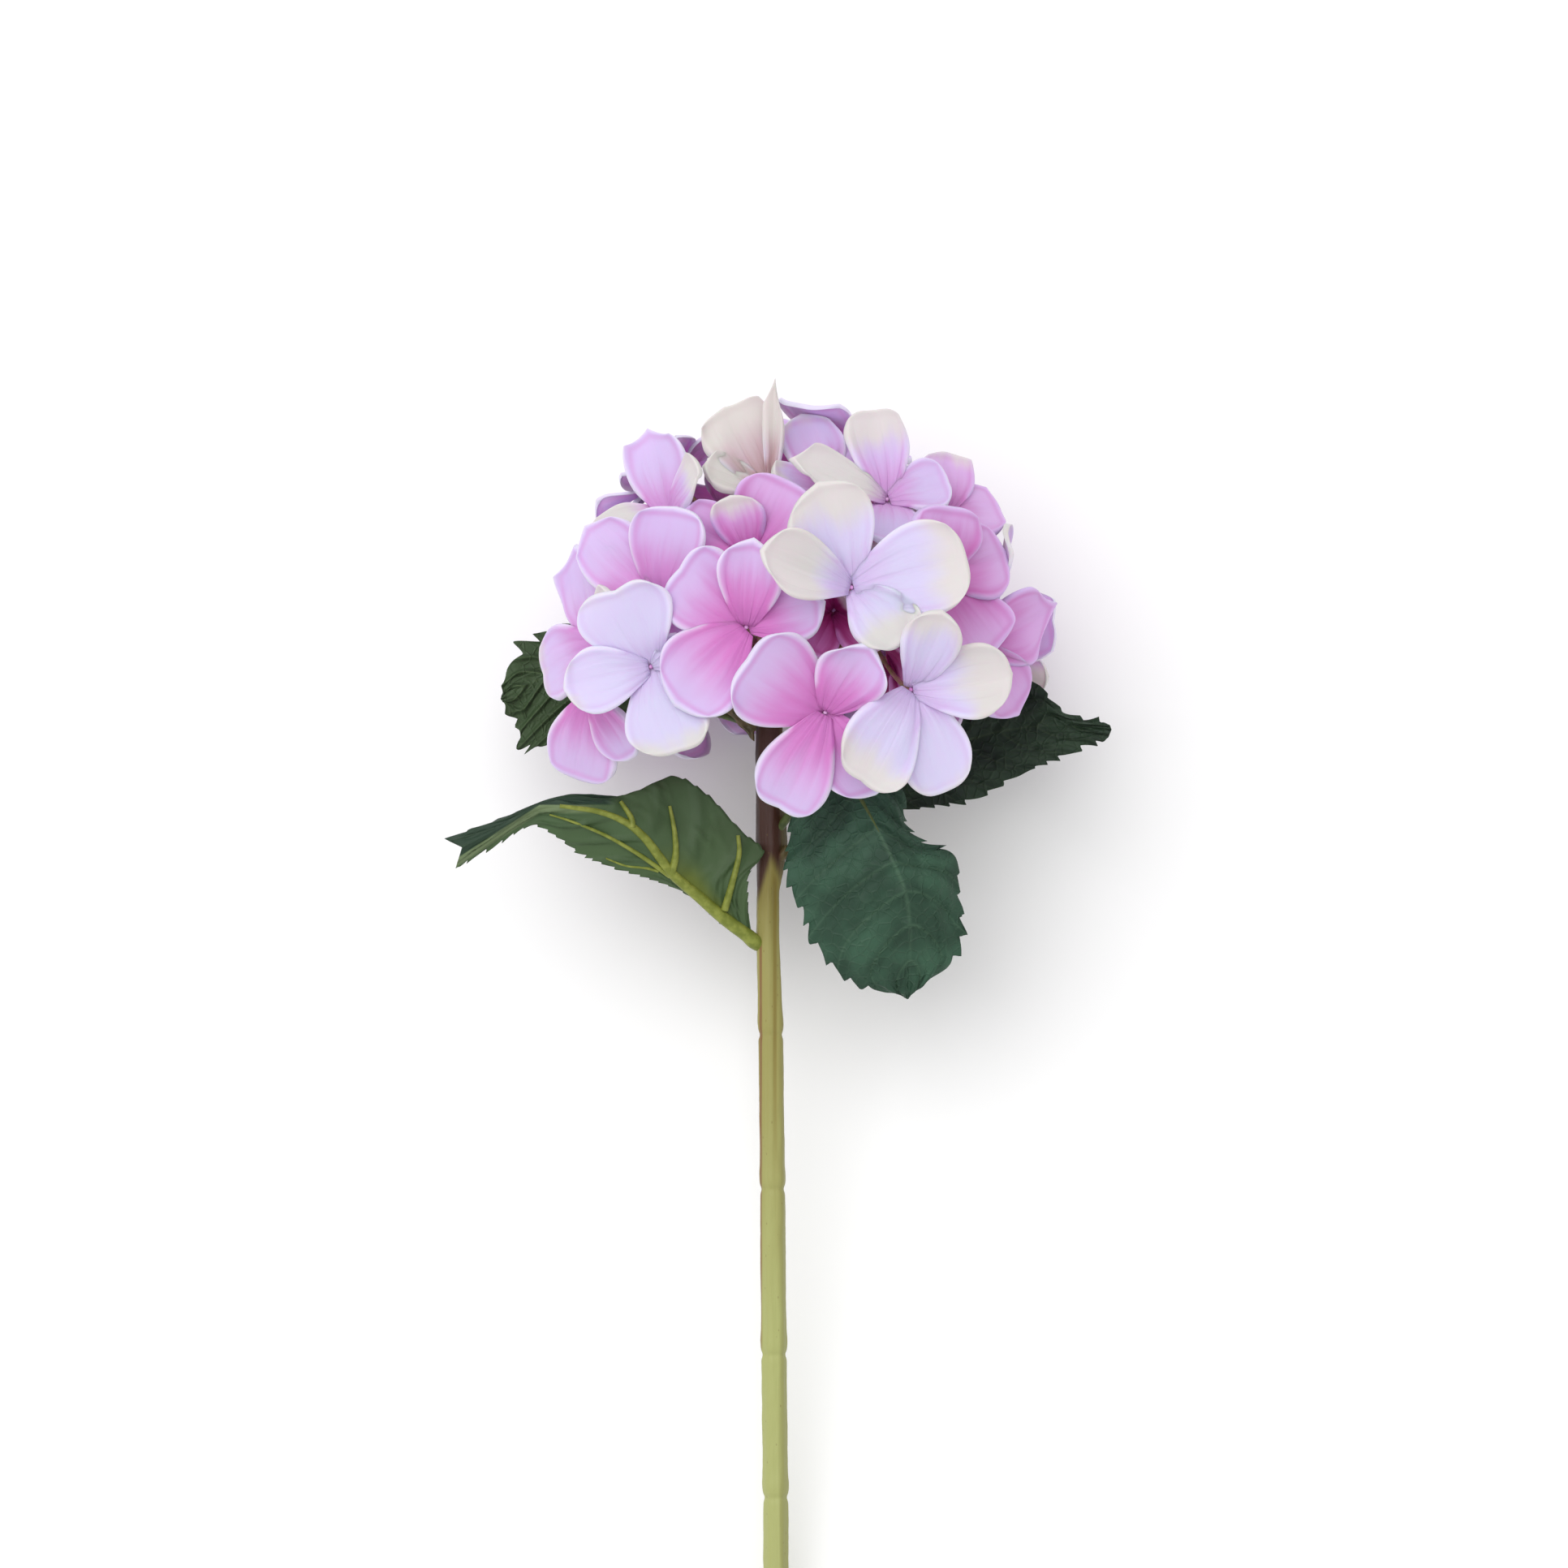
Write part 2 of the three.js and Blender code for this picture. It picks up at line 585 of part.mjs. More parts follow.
plant.rotation.x = LEAN;
plant.position.set(-MIDDLE.x, -MIDDLE.y, CROWN_HEIGHT);
const hydrangea = new THREE.Group();
hydrangea.add(plant);

export default hydrangea;
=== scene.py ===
"""The looks of a cut hydrangea that lies on its back on a pale table, seen from above.

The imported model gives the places: this script grows the petals, leaves and stem on them, in
metres. The flower is drawn standing up in its own plant frame, in millimetres, with x across,
y up the stem and z out of its front, and is then laid down on the table as the model is.
"""

import json
import math

import bpy
import numpy as np
from mathutils import Matrix, Vector


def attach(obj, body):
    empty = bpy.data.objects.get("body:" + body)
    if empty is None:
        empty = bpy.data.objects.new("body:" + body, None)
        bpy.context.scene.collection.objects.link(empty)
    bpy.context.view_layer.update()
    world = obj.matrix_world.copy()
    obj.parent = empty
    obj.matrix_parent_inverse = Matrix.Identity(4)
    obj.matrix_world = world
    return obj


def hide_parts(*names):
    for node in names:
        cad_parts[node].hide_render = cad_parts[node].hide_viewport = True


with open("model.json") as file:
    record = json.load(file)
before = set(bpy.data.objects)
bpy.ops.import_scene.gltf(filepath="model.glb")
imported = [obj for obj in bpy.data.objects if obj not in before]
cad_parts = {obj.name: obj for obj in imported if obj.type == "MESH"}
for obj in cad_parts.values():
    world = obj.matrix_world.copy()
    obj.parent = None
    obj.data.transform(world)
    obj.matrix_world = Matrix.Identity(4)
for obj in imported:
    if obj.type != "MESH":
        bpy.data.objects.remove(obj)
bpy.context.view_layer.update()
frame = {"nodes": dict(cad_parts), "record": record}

MM = 0.001

# ---- The plant frame on the table ----

LEAN = math.radians(8.8)
CROWN_HEIGHT = 55.6
MIDDLE = Vector((3.75, -121.91, 0))
REST_GAP = 0.7
REST_SOFTNESS = 5
LAID_DOWN = (
    Matrix.Scale(MM, 4)
    @ Matrix.Translation((-MIDDLE.x, -MIDDLE.y, CROWN_HEIGHT))
    @ Matrix.Rotation(LEAN, 4, "X")
)
TABLE_UP = Vector((0, math.sin(LEAN), math.cos(LEAN)))

# ---- The flower head's rules, as the model has them ----

HEAD = np.array((7, 36, 0))
DOME_ACROSS = 62
DOME_UP = 55
DOME_DOWN = 42
DOME_FRONT = 56
DOME_BACK = 54
GOLDEN_ANGLE = math.pi * (3 - math.sqrt(5))
OUTER_FLORETS = 46
INNER_FLORETS = 24
INNER_SHARE = 0.7
OUTER_SIZE = 27
INNER_SIZE = 18
OUTER_LIFT = 6
INNER_LIFT = 34
LIFT_STEP = 5
LIFT_STEPS = 9
SHORTEN_STEP = 0.12
SHORTEST = 0.5
CLAW_REACH = 1.0
CLAW_WIDTH = 0.14
WIDEST = 0.8 * math.pi
TIP_ROUND = 0.14
PAIR_STEP = 1.2
PEDICEL_STRAIGHT = 0.4
PEDICEL_RADIUS = 0.8
MODEL_GAP = 0.4

BRANCHES = 12
BRANCH_SHARE = 0.5
BRANCH_START = 6
BRANCH_RADII = (2.2, 1.5)
BRANCH_FEET = (0.5, 0.62, 0.75, 0.87, 0.98)

# The florets of the front: middle, how far they look right and up in degrees, how pink the
# throat is, and for each petal its direction, length, width, lift, curl, cup and share of cream,
# then any of petal_points' drawn sizes that it has a value of its own for
FRONT_FLORETS = {
    "pale_right": ((25, 44, 62), (8, 6), 0.15, [
        (112, 31, 26, 14, 0, 0.1, 0.4, {"square": 0.8, "skew": -0.04}),
        (14, 35, 28, 10, -6, 0.12, 0.35, {"square": 0.6, "point": 0}),
        (-50, 23, 21, 22, -24, 0.14, 0.5, {"square": 0.3, "ripple": 0.3}),
        (166, 31, 20, 16, 10, 0.2, 0.75, {"square": 0.2, "fold": 0.5}),
    ]),
    "pale_left": ((-36, 20, 54), (-16, -4), 0.05, [
        (109, 27, 28, 14, 4, 0.18, 0.1, {"square": 1, "skew": 0.02, "point": -0.06}),
        (192, 25, 20, 14, 8, 0.2, 0.1, {"square": 0.3, "point": 0.05}),
        (-74, 27, 25, 10, -10, 0.08, 0.2, {"square": 0.8, "skew": 0.08}),
        (28, 14, 11, -16, -10, 0.1, 0),
    ]),
    "pale_low": ((43, 13, 58), (12, -6), 0.2, [
        (74, 28, 18, 18, 4, 0.16, 0.4, {"square": 0.4, "skew": 0.06}),
        (9, 29, 22, 10, -4, 0.16, 0.55, {"square": 0.7}),
        (-67, 32, 21, 6, -8, 0.08, 0.08, {"square": 0.8, "skew": -0.05}),
        (236, 32, 24, 12, -8, 0.1, 0.35, {"square": 0.7, "skew": 0.05}),
    ]),
    "pink_low": ((17, 6, 56), (2, -10), 0.85, [
        (146, 31, 29, 12, 6, 0.18, 0, {"square": 0.9, "point": -0.02}),
        (242, 32, 22, 6, -6, 0.12, 0, {"square": 1, "skew": 0.03}),
        (-62, 28, 21, 0, 0, 0.16, 0, {"square": 0.5}),
        (60, 25, 22, 20, 0, 0.3, 0, {"square": 0.1, "point": 0.12, "ripple": 0.25}),
    ]),
    "pink_middle": ((-7, 32, 58), (-6, 2), 0.9, [
        (143, 27, 25, 14, -6, 0.12, 0, {"square": 0.8, "ripple": 0.2}),
        (80, 25, 20, 22, -14, 0.3, 0, {"square": 0.3, "point": 0.08, "skew": 0.06}),
        (20, 23, 19, 12, -16, 0.1, 0, {"square": 0.3, "point": 0.08}),
        (226, 30, 27, 6, -12, 0.1, 0, {"square": 0.6, "skew": 0.04}),
    ]),
    "rose_left": ((-33, 40, 46), (-22, 14), 0.7, [
        (82, 28, 24, 16, 0, 0.2, 0, {"square": 0.9, "point": 0.03, "skew": -0.05}),
        (138, 33, 22, 4, -8, 0.1, 0, {"square": 0.4, "point": 0.08}),
        (220, 20, 18, 0, -10, 0.1, 0),
        (-30, 20, 18, 0, -10, 0.1, 0),
    ]),
    "edge_left": ((-53, 28, 32), (-52, 4), 0.5, [
        (112, 28, 23, 6, -10, 0.1, 0, {"square": 0.2, "point": 0.15, "ripple": 0.25}),
        (203, 26, 24, 8, -16, 0.1, 0.1),
        (-70, 20, 18, 4, 0, 0.1, 0.5),
        (30, 22, 18, 8, 0, 0.1, 0.6),
    ]),
    "drop_left": ((-54, 12, 38), (-24, -22), 0.75, [
        (250, 29, 22, 2, -6, 0.1, 0, {"square": 1, "skew": 0.03}),
        (-62, 23, 15, 4, 0, 0.16, 0),
        (150, 19, 17, 6, 0, 0.1, 0),
        (60, 16, 14, 0, 0, 0.1, 0),
    ]),
    "crest_cream": ((0, 74, 31), (-2, 36), 0.3, [
        (119, 28, 22, 24, 8, 0.2, 0.5, {"square": 1, "ripple": 0.3, "skew": 0.05}),
        (80, 28, 7, 34, 10, 0.3, 0.6, {"square": 0, "point": 0.2, "skew": 0.1, "fold": 0.4}),
        (-70, 18, 18, 10, 0, 0.16, 0.5),
        (170, 20, 14, 16, 10, 0.2, 0.6, {"ripple": 0.2}),
    ]),
    "crest_left": ((-31, 67, 33), (-30, 40), 0.45, [
        (112, 26, 20, 18, 10, 0.2, 0, {"square": 0.3, "point": 0.15, "skew": 0.05}),
        (36, 19, 16, 30, 10, 0.2, 0.5, {"square": 0.4}),
        (205, 25, 20, 8, -6, 0.16, 0.7, {"square": 0.2, "point": 0.1}),
        (-70, 20, 18, 4, 0, 0.16, 0),
    ]),
    "crest_right": ((36, 72, 37), (12, 36), 0.35, [
        (96, 27, 19, 20, 12, 0.14, 0.45, {"square": 0.9, "skew": 0.06}),
        (168, 29, 17, 14, 0, 0.2, 0.9, {"square": 0.1, "point": 0.12}),
        (-95, 20, 22, 8, 0, 0.1, 0),
        (10, 20, 20, 6, -10, 0.1, 0),
    ]),
    "crest_middle": ((18, 75, 29), (6, 40), 0.55, [
        (104, 24, 20, 14, 6, 0.16, 0.1, {"square": 0.4, "point": 0.08}),
        (40, 20, 17, 8, 0, 0.14, 0),
        (190, 19, 16, 8, 0, 0.1, 0.3),
        (-70, 16, 15, 4, 0, 0.1, 0),
    ]),
    "rose_right": ((51, 47, 43), (32, 10), 0.9, [
        (84, 22, 25, 6, -8, 0.1, 0, {"square": 0.7}),
        (20, 25, 24, 4, -10, 0.1, 0, {"square": 0.5}),
        (-58, 27, 26, 6, -10, 0.1, 0, {"square": 0.9}),
        (190, 17, 16, 0, -10, 0.1, 0),
    ]),
    "edge_right": ((62, 27, 30), (46, -4), 0.8, [
        (18, 30, 24, 6, -10, 0.18, 0, {"square": 0, "point": 0.3, "fold": 0.25}),
        (-50, 25, 22, 10, -6, 0.2, 0, {"square": 0.2, "point": 0.1}),
        (120, 20, 20, 6, 0, 0.1, 0),
        (215, 20, 18, 4, 0, 0.1, 0),
    ]),
    "rose_high": ((-6, 54, 50), (-4, 22), 0.85, [
        (62, 25, 25, 14, 0, 0.14, 0, {"square": 0.6}),
        (150, 25, 20, 6, -6, 0.2, 0, {"square": 0.5}),
        (105, 18, 16, 30, 0, 0.1, 0.3, {"square": 0.5}),
        (-40, 18, 18, 0, 0, 0.1, 0),
    ]),
    "cream_right": ((54, 68, 27), (34, 36), 0.5, [
        (176, 25, 18, 14, 0, 0.2, 0.9, {"square": 0.1, "point": 0.1}),
        (75, 20, 20, 8, 0, 0.1, 0.2),
        (0, 20, 20, 4, -8, 0.1, 0),
        (-80, 18, 18, 2, 0, 0.1, 0),
    ]),
}

# ---- Node trees written as formulas ----


class Flow:
    """A number or vector on its way through a node tree."""

    def __init__(self, tree, socket):
        self.tree = tree
        self.socket = socket

    def __add__(self, other):
        return calculate("ADD", self, other)

    def __radd__(self, other):
        return calculate("ADD", other, self)

    def __sub__(self, other):
        return calculate("SUBTRACT", self, other)

    def __rsub__(self, other):
        return calculate("SUBTRACT", other, self)

    def __mul__(self, other):
        return calculate("MULTIPLY", self, other)

    def __rmul__(self, other):
        return calculate("MULTIPLY", other, self)

    def __truediv__(self, other):
        return calculate("DIVIDE", self, other)

    def __pow__(self, other):
        return calculate("POWER", self, other)


def feed(tree, socket, value):
    if isinstance(value, Flow):
        tree.links.new(value.socket, socket)
    elif value is not None:
        socket.default_value = value


def is_vector(value):
    return isinstance(value, Flow) and value.socket.type == "VECTOR"


def calculate(operation, *values):
    """A Math or Vector Math node. A vector times a number scales the vector."""
    tree = next(value.tree for value in values if isinstance(value, Flow))
    vectors = [is_vector(value) or isinstance(value, tuple) for value in values]
    if not any(vectors):
        node = tree.nodes.new("ShaderNodeMath")
        node.operation = operation
        for socket, value in zip(node.inputs, values):
            feed(tree, socket, value)
        return Flow(tree, node.outputs[0])
    node = tree.nodes.new("ShaderNodeVectorMath")
    if operation == "MULTIPLY" and not all(vectors):
        node.operation = "SCALE"
        vector, number = sorted(zip(vectors, range(2)), reverse=True)
        feed(tree, node.inputs["Vector"], values[vector[1]])
        feed(tree, node.inputs["Scale"], values[number[1]])
        return Flow(tree, node.outputs[0])
    node.operation = operation
    for socket, value in zip(node.inputs, values):
        feed(tree, socket, value)
    output = node.outputs["Value"] if operation in ("DOT_PRODUCT", "LENGTH") else node.outputs[0]
    return Flow(tree, output)


def sine(value):
    return calculate("SINE", value)


def cosine(value):
    return calculate("COSINE", value)


def size_of(value):
    return calculate("ABSOLUTE", value)


def larger(a, b):
    return calculate("MAXIMUM", a, b)


def smaller(a, b):
    return calculate("MINIMUM", a, b)


def ramp(value, low, high):
    """0 up to low, 1 from high on, and a smooth step between."""
    node = value.tree.nodes.new("ShaderNodeMapRange")
    node.interpolation_type = "SMOOTHSTEP"
    feed(value.tree, node.inputs["Value"], value)
    feed(value.tree, node.inputs["From Min"], low)
    feed(value.tree, node.inputs["From Max"], high)
    return Flow(value.tree, node.outputs["Result"])


def node_in(tree, kind, settings=None, **inputs):
    """A node with its settings and the inputs that are given by name, spaces as underscores."""
    node = tree.nodes.new(kind)
    for name, value in (settings or {}).items():
        setattr(node, name, value)
    for name, value in inputs.items():
        feed(tree, node.inputs[name.replace("_", " ")], value)
    return node


def out_of(node, name=0):
    return Flow(node.id_data, node.outputs[name])


# ---- Geometry trees ----

SOCKETS = {"number": "NodeSocketFloat", "count": "NodeSocketInt", "vector": "NodeSocketVector",
           "finish": "NodeSocketMaterial"}


def new_tree(name, inputs):
    """A geometry tree with named inputs, each of a kind and a starting value, as flows."""
    tree = bpy.data.node_groups.new(name, "GeometryNodeTree")
    tree.interface.new_socket("Geometry", in_out="INPUT", socket_type="NodeSocketGeometry")
    tree.interface.new_socket("Geometry", in_out="OUTPUT", socket_type="NodeSocketGeometry")
    for label, (kind, value) in inputs.items():
        socket = tree.interface.new_socket(label, in_out="INPUT", socket_type=SOCKETS[kind])
        if value is not None:
            socket.default_value = value
    entry = tree.nodes.new("NodeGroupInput")
    return tree, {socket.name: Flow(tree, socket) for socket in entry.outputs if socket.name}


def end_tree(tree, geometry):
    """Every tree ends by making its copies real and keeping each point's place in the plant."""
    real = node_in(tree, "GeometryNodeRealizeInstances", Geometry=geometry)
    place = out_of(tree.nodes.new("GeometryNodeInputPosition"))
    kept = node_in(tree, "GeometryNodeStoreNamedAttribute",
                   {"domain": "POINT", "data_type": "FLOAT_VECTOR"},
                   Geometry=out_of(real), Name="plant", Value=place)
    end = tree.nodes.new("NodeGroupOutput")
    tree.links.new(kept.outputs[0], end.inputs[0])


def stored(tree, geometry, name, value):
    node = node_in(tree, "GeometryNodeStoreNamedAttribute", {"domain": "POINT"},
                   Geometry=geometry, Name=name, Value=value)
    return out_of(node)


def named(tree, name):
    node = node_in(tree, "GeometryNodeInputNamedAttribute", Name=name)
    return out_of(node, "Attribute")


def named_vector(tree, name):
    node = node_in(tree, "GeometryNodeInputNamedAttribute", {"data_type": "FLOAT_VECTOR"},
                   Name=name)
    return out_of(node, "Attribute")


def combine(tree, x, y, z):
    return out_of(node_in(tree, "ShaderNodeCombineXYZ", X=x, Y=y, Z=z))


def finished(tree, geometry, finish):
    smooth = node_in(tree, "GeometryNodeSetShadeSmooth", Geometry=geometry)
    shown = node_in(tree, "GeometryNodeSetMaterial", Geometry=out_of(smooth), Material=finish)
    return out_of(shown)


def grow(tree, base, name, **inputs):
    """The plain mesh that a geometry tree makes of a base mesh, in the plant frame."""
    piece = bpy.data.objects.new(name, base)
    bpy.context.scene.collection.objects.link(piece)
    growth = piece.modifiers.new(name, "NODES")
    growth.node_group = tree
    identifiers = {
        item.name: item.identifier
        for item in tree.interface.items_tree
        if item.in_out == "INPUT"
    }
    for label, value in inputs.items():
        given = tuple(value) if isinstance(value, Vector) else value
        growth[identifiers[label.replace("_", " ")]] = given
    graph = bpy.context.evaluated_depsgraph_get()
    mesh = bpy.data.meshes.new_from_object(piece.evaluated_get(graph))
    bpy.data.objects.remove(piece)
    bpy.data.meshes.remove(base)
    return mesh


# ---- Florets ----

PETAL_ROWS = 26
PETAL_COLUMNS = 23
PETAL_THICKNESS = 0.5
LEAST_CUP = 0.06
BUD_HEIGHT = 0.7
STALK_DROP = 0.8
PETAL_SIZES = ("direction", "length", "width", "lift", "curl", "cup", "step", "ripple", "skew",
               "point", "square", "fold", "seed", "cream", "pink")


def petal_surface(tree, along, across, given):
    """A petal's outward, sideways and upward place, its slope, and how near its rim is."""
    petal = {label: named(tree, label) for label in PETAL_SIZES}
    half = petal["width"] * 0.5
    edge = size_of(across)
    tip = along ** 3
    rounding = edge ** (petal["square"] * 2 + 2) * given["Tip round"]
    reach = petal["length"] * (along - tip * rounding + tip * (1 - edge) ** 2 * petal["point"])
    slope = petal["lift"] + petal["curl"] * along * 0.5
    claw = given["Foot width"]
    swell = sine(along * WIDEST) * (1 - claw) + claw
    swell = swell * (tip * petal["square"] * 0.3 + 1)
    to_side = (1 - edge) * half * swell
    to_tip = (1 - along) * petal["length"]
    depth = smaller(to_side, to_tip)
    rim = calculate("EXPONENT", depth * -0.5) * ramp(along, 0.08, 0.35)
    collar = calculate("EXPONENT", (depth - given["Collar depth"]) ** 2 * -0.8)
    collar = collar * ramp(along, 0.2, 0.5) * given["Collar"]
    sideways = half * across * swell + petal["skew"] * petal["length"] * along ** 2
    wave = sine(along * 6 + across * 2.5 + petal["seed"] * 40)
    ruffle = half * petal["ripple"] * wave * edge ** 2 * along
    roll = rim ** 3 * given["Rim roll"]
    crease = given["Crease"] * calculate("EXPONENT", across ** 2 * -30) * sine(along * 3.0)
    fold = petal["fold"] * half * edge * sine(along * 2.6)
    pleat = sine(across * 11 + petal["seed"] * 30) * (1 - along) ** 2 * sine(along * 3.14)
    sink = calculate("EXPONENT", along ** 2 * -45) * given["Sink"]
    cupped = half * (petal["cup"] + LEAST_CUP) * across ** 2 * along
    rise = cupped + petal["step"] + ruffle + fold + collar + pleat * given["Pleat"]
    rise = rise - roll - crease - sink
    outward = reach * cosine(slope) + CLAW_REACH * 0.6
    upward = reach * sine(slope) + rise
    steep = petal["lift"] + petal["curl"] * along
    return petal, outward, sideways, upward, steep, rim, depth


def on_table(tree, point):
    """Bends what would be under the table up to it, softly."""
    over = calculate("DOT_PRODUCT", point, tuple(TABLE_UP)) + (CROWN_HEIGHT - REST_GAP)
    near = larger(over + REST_SOFTNESS, 0.0)
    eased = near * near / (4 * REST_SOFTNESS)
    high = calculate("GREATER_THAN", over, REST_SOFTNESS)
    lift = (eased - over) * (1 - high)
    up = combine(tree, *TABLE_UP)
    return point + up * lift


def grown_petals(tree, given):
    """A thin closed sheet for each petal, with a bead along its rim."""
    slab = node_in(tree, "GeometryNodeMeshCube", Size=(1, 2, 2),
                   Vertices_X=given["Rows"], Vertices_Y=given["Columns"], Vertices_Z=2)
    place = node_in(tree, "ShaderNodeSeparateXYZ",
                    Vector=out_of(tree.nodes.new("GeometryNodeInputPosition")))
    towards_tip = sine((out_of(place, "X") + 0.5) * (math.pi / 2))
    towards_side = sine(out_of(place, "Y") * (math.pi / 2))
    sheet = stored(tree, out_of(slab, "Mesh"), "along", towards_tip)
    sheet = stored(tree, sheet, "across", towards_side)
    sheet = stored(tree, sheet, "skin", out_of(place, "Z"))
    copies = node_in(tree, "GeometryNodeInstanceOnPoints", Points=given["Geometry"], Instance=sheet)
    real = node_in(tree, "GeometryNodeRealizeInstances", Geometry=out_of(copies))
    along, across = named(tree, "along"), named(tree, "across")
    petal, outward, sideways, upward, steep, rim, depth = petal_surface(
        tree, along, across, given
    )
    turn_cos, turn_sin = cosine(petal["direction"]), sine(petal["direction"])
    point = (
        given["Middle"]
        + given["Right"] * (outward * turn_cos - sideways * turn_sin)
        + given["Up"] * (outward * turn_sin + sideways * turn_cos)
        + given["Out"] * upward
    )
    radial = given["Right"] * turn_cos + given["Up"] * turn_sin
    normal = given["Out"] * cosine(steep) - radial * sine(steep)
    bead = calculate("EXPONENT", (depth - 0.6) ** 2 * -2.5) * ramp(along, 0.1, 0.4)
    closing = smaller(depth * 2.2, 1.0) ** 0.5 * 0.8 + 0.2
    body = named(tree, "skin") * given["Thickness"] * 0.5 * (bead * given["Bead"] + 1) * closing
    point = on_table(tree, point) + normal * body
    rimmed = stored(tree, out_of(real), "rim", rim)
    petals = node_in(tree, "GeometryNodeSetPosition", Geometry=rimmed, Position=point)
    return finished(tree, out_of(petals), given["Petal finish"])


def grown_stalk(tree, given):
    path = node_in(tree, "GeometryNodeCurveQuadraticBezier", Resolution=10,
                   Start=given["Middle"] - given["Out"] * (given["Sink"] + STALK_DROP),
                   Middle=given["Elbow"], End=given["Foot"])
    ring = node_in(tree, "GeometryNodeCurvePrimitiveCircle", {"mode": "RADIUS"},
                   Resolution=8, Radius=given["Stalk radius"])
    stalk = node_in(tree, "GeometryNodeCurveToMesh", Curve=out_of(path), Profile_Curve=out_of(ring),
                    Fill_Caps=True)
    return finished(tree, out_of(stalk), given["Stalk finish"])


def grown_bud(tree, given):
    bead = node_in(tree, "GeometryNodeMeshIcoSphere", Radius=given["Bud radius"], Subdivisions=3)
    bead = node_in(tree, "GeometryNodeTransform", Geometry=out_of(bead, "Mesh"),
                   Translation=given["Middle"] - given["Out"] * (given["Sink"] - BUD_HEIGHT))
    return finished(tree, out_of(bead), given["Bud finish"])


def floret_tree():
    """The petals, the stalk and the bud of a floret, on a base mesh of one point for each petal."""
    tree, given = new_tree("floret", {
        "Rows": ("count", PETAL_ROWS),
        "Columns": ("count", PETAL_COLUMNS),
        "Thickness": ("number", PETAL_THICKNESS),
        "Tip round": ("number", TIP_ROUND),
        "Foot width": ("number", 0.26),
        "Rim roll": ("number", 1.2),
        "Collar": ("number", 0.6),
        "Collar depth": ("number", 1.3),
        "Crease": ("number", 0.5),
        "Pleat": ("number", 0.5),
        "Sink": ("number", 2.2),
        "Bead": ("number", 1.1),
        "Middle": ("vector", (0, 0, 0)),
        "Right": ("vector", (1, 0, 0)),
        "Up": ("vector", (0, 1, 0)),
        "Out": ("vector", (0, 0, 1)),
        "Elbow": ("vector", (0, 0, -9)),
        "Foot": ("vector", (0, 0, -20)),
        "Bud radius": ("number", 0.65),
        "Stalk radius": ("number", 0.75),
        "Petal finish": ("finish", None),
        "Stalk finish": ("finish", None),
        "Bud finish": ("finish", None),
    })
    petals = grown_petals(tree, given)
    stalk = grown_stalk(tree, given)
    bud = grown_bud(tree, given)
    joined = tree.nodes.new("GeometryNodeJoinGeometry")
    for part in (bud, stalk, petals):
        tree.links.new(part.socket, joined.inputs[0])
    end_tree(tree, out_of(joined))
    return tree


def chance(number):
    """A repeatable number from 0 to 1, the same as the model's."""
    wave = math.sin(number * 127.1 + 11.7) * 43758.5453
    return wave - math.floor(wave)


def spread(count):
    """Directions spread evenly over a ball by the golden angle."""
    directions = []
    for i in range(count):
        y = 1 - (2 * i + 1) / count
        r = math.sqrt(1 - y * y)
        turn = i * GOLDEN_ANGLE
        directions.append(Vector((r * math.cos(turn), y, r * math.sin(turn))))
    return directions


def dome_point(direction, share):
    across = direction.x * DOME_ACROSS
    up = direction.y * (DOME_UP if direction.y > 0 else DOME_DOWN)
    out = direction.z * (DOME_FRONT if direction.z > 0 else DOME_BACK)
    return Vector((across, up, out)) * share + Vector(HEAD)


def bezier(start, middle, end, share):
    return start.lerp(middle, share).lerp(middle.lerp(end, share), share)


def branch_curves():
    curves = []
    for direction in spread(BRANCHES):
        end = dome_point(direction, BRANCH_SHARE)
        bend = Vector((HEAD[0] + (end.x - HEAD[0]) * 0.25, HEAD[1] * 0.45, end.z * 0.25))
        curves.append((Vector((HEAD[0] * 0.1, BRANCH_START, 0)), bend, end))
    return curves


def facing_frame(out):
    right = Vector((0, 1, 0)).cross(out).normalized()
    return right, out.cross(right)


def front_floret(at, face, pink, petals):
    right, up = (math.radians(angle) for angle in face)
    out = Vector((math.sin(right) * math.cos(up), math.sin(up), math.cos(right) * math.cos(up)))
    return {"at": Vector(at), "out": out, "pink": pink, "petals": petals}


def dome_floret(direction, share, number, size, lift, pink):
    petals = []
    for k in range(4):
        vary = [chance(number * 4 + k + n * 31) - 0.5 for n in range(6)]
        cream = max(0.0, chance(number * 9 + k) - 0.72) * 2.4
        petals.append((
            90 * chance(number) + 90 * k + 16 * vary[1],
            size * (1 + 0.2 * vary[2]),
            size * (0.86 + 0.2 * vary[3]),
            lift + 16 * vary[4],
            -6,
            0.14,
            cream,
        ))
    return {"at": dome_point(direction, share), "out": direction, "pink": pink, "petals": petals}


def floret_of(node):
    """The floret that a node of the model stands for."""
    kind, name = node.split("_", 2)[1], node.split("_", 1)[1]
    if name in FRONT_FLORETS:
        return front_floret(*FRONT_FLORETS[name])
    number = int(node.split("_")[-1])
    if kind == "side":
        pink = 0.35 + 0.5 * chance(number * 3 + 5)
        return dome_floret(spread(OUTER_FLORETS)[number], 1, number, OUTER_SIZE, OUTER_LIFT, pink)
    direction = spread(INNER_FLORETS)[number]
    return dome_floret(direction, INNER_SHARE, 100 + number, INNER_SIZE, INNER_LIFT, 1.0)


def model_points(node):
    """The corners of a node of the model, back in the plant frame."""
    back = LAID_DOWN.inverted()
    return np.array([back @ v.co for v in frame["nodes"][node].data.vertices])


def laid(point):
    over = point.dot(TABLE_UP) + CROWN_HEIGHT - REST_GAP
    if over >= REST_SOFTNESS:
        return point
    eased = 0 if over <= -REST_SOFTNESS else (over + REST_SOFTNESS) ** 2 / (4 * REST_SOFTNESS)
    return point + TABLE_UP * (eased - over)


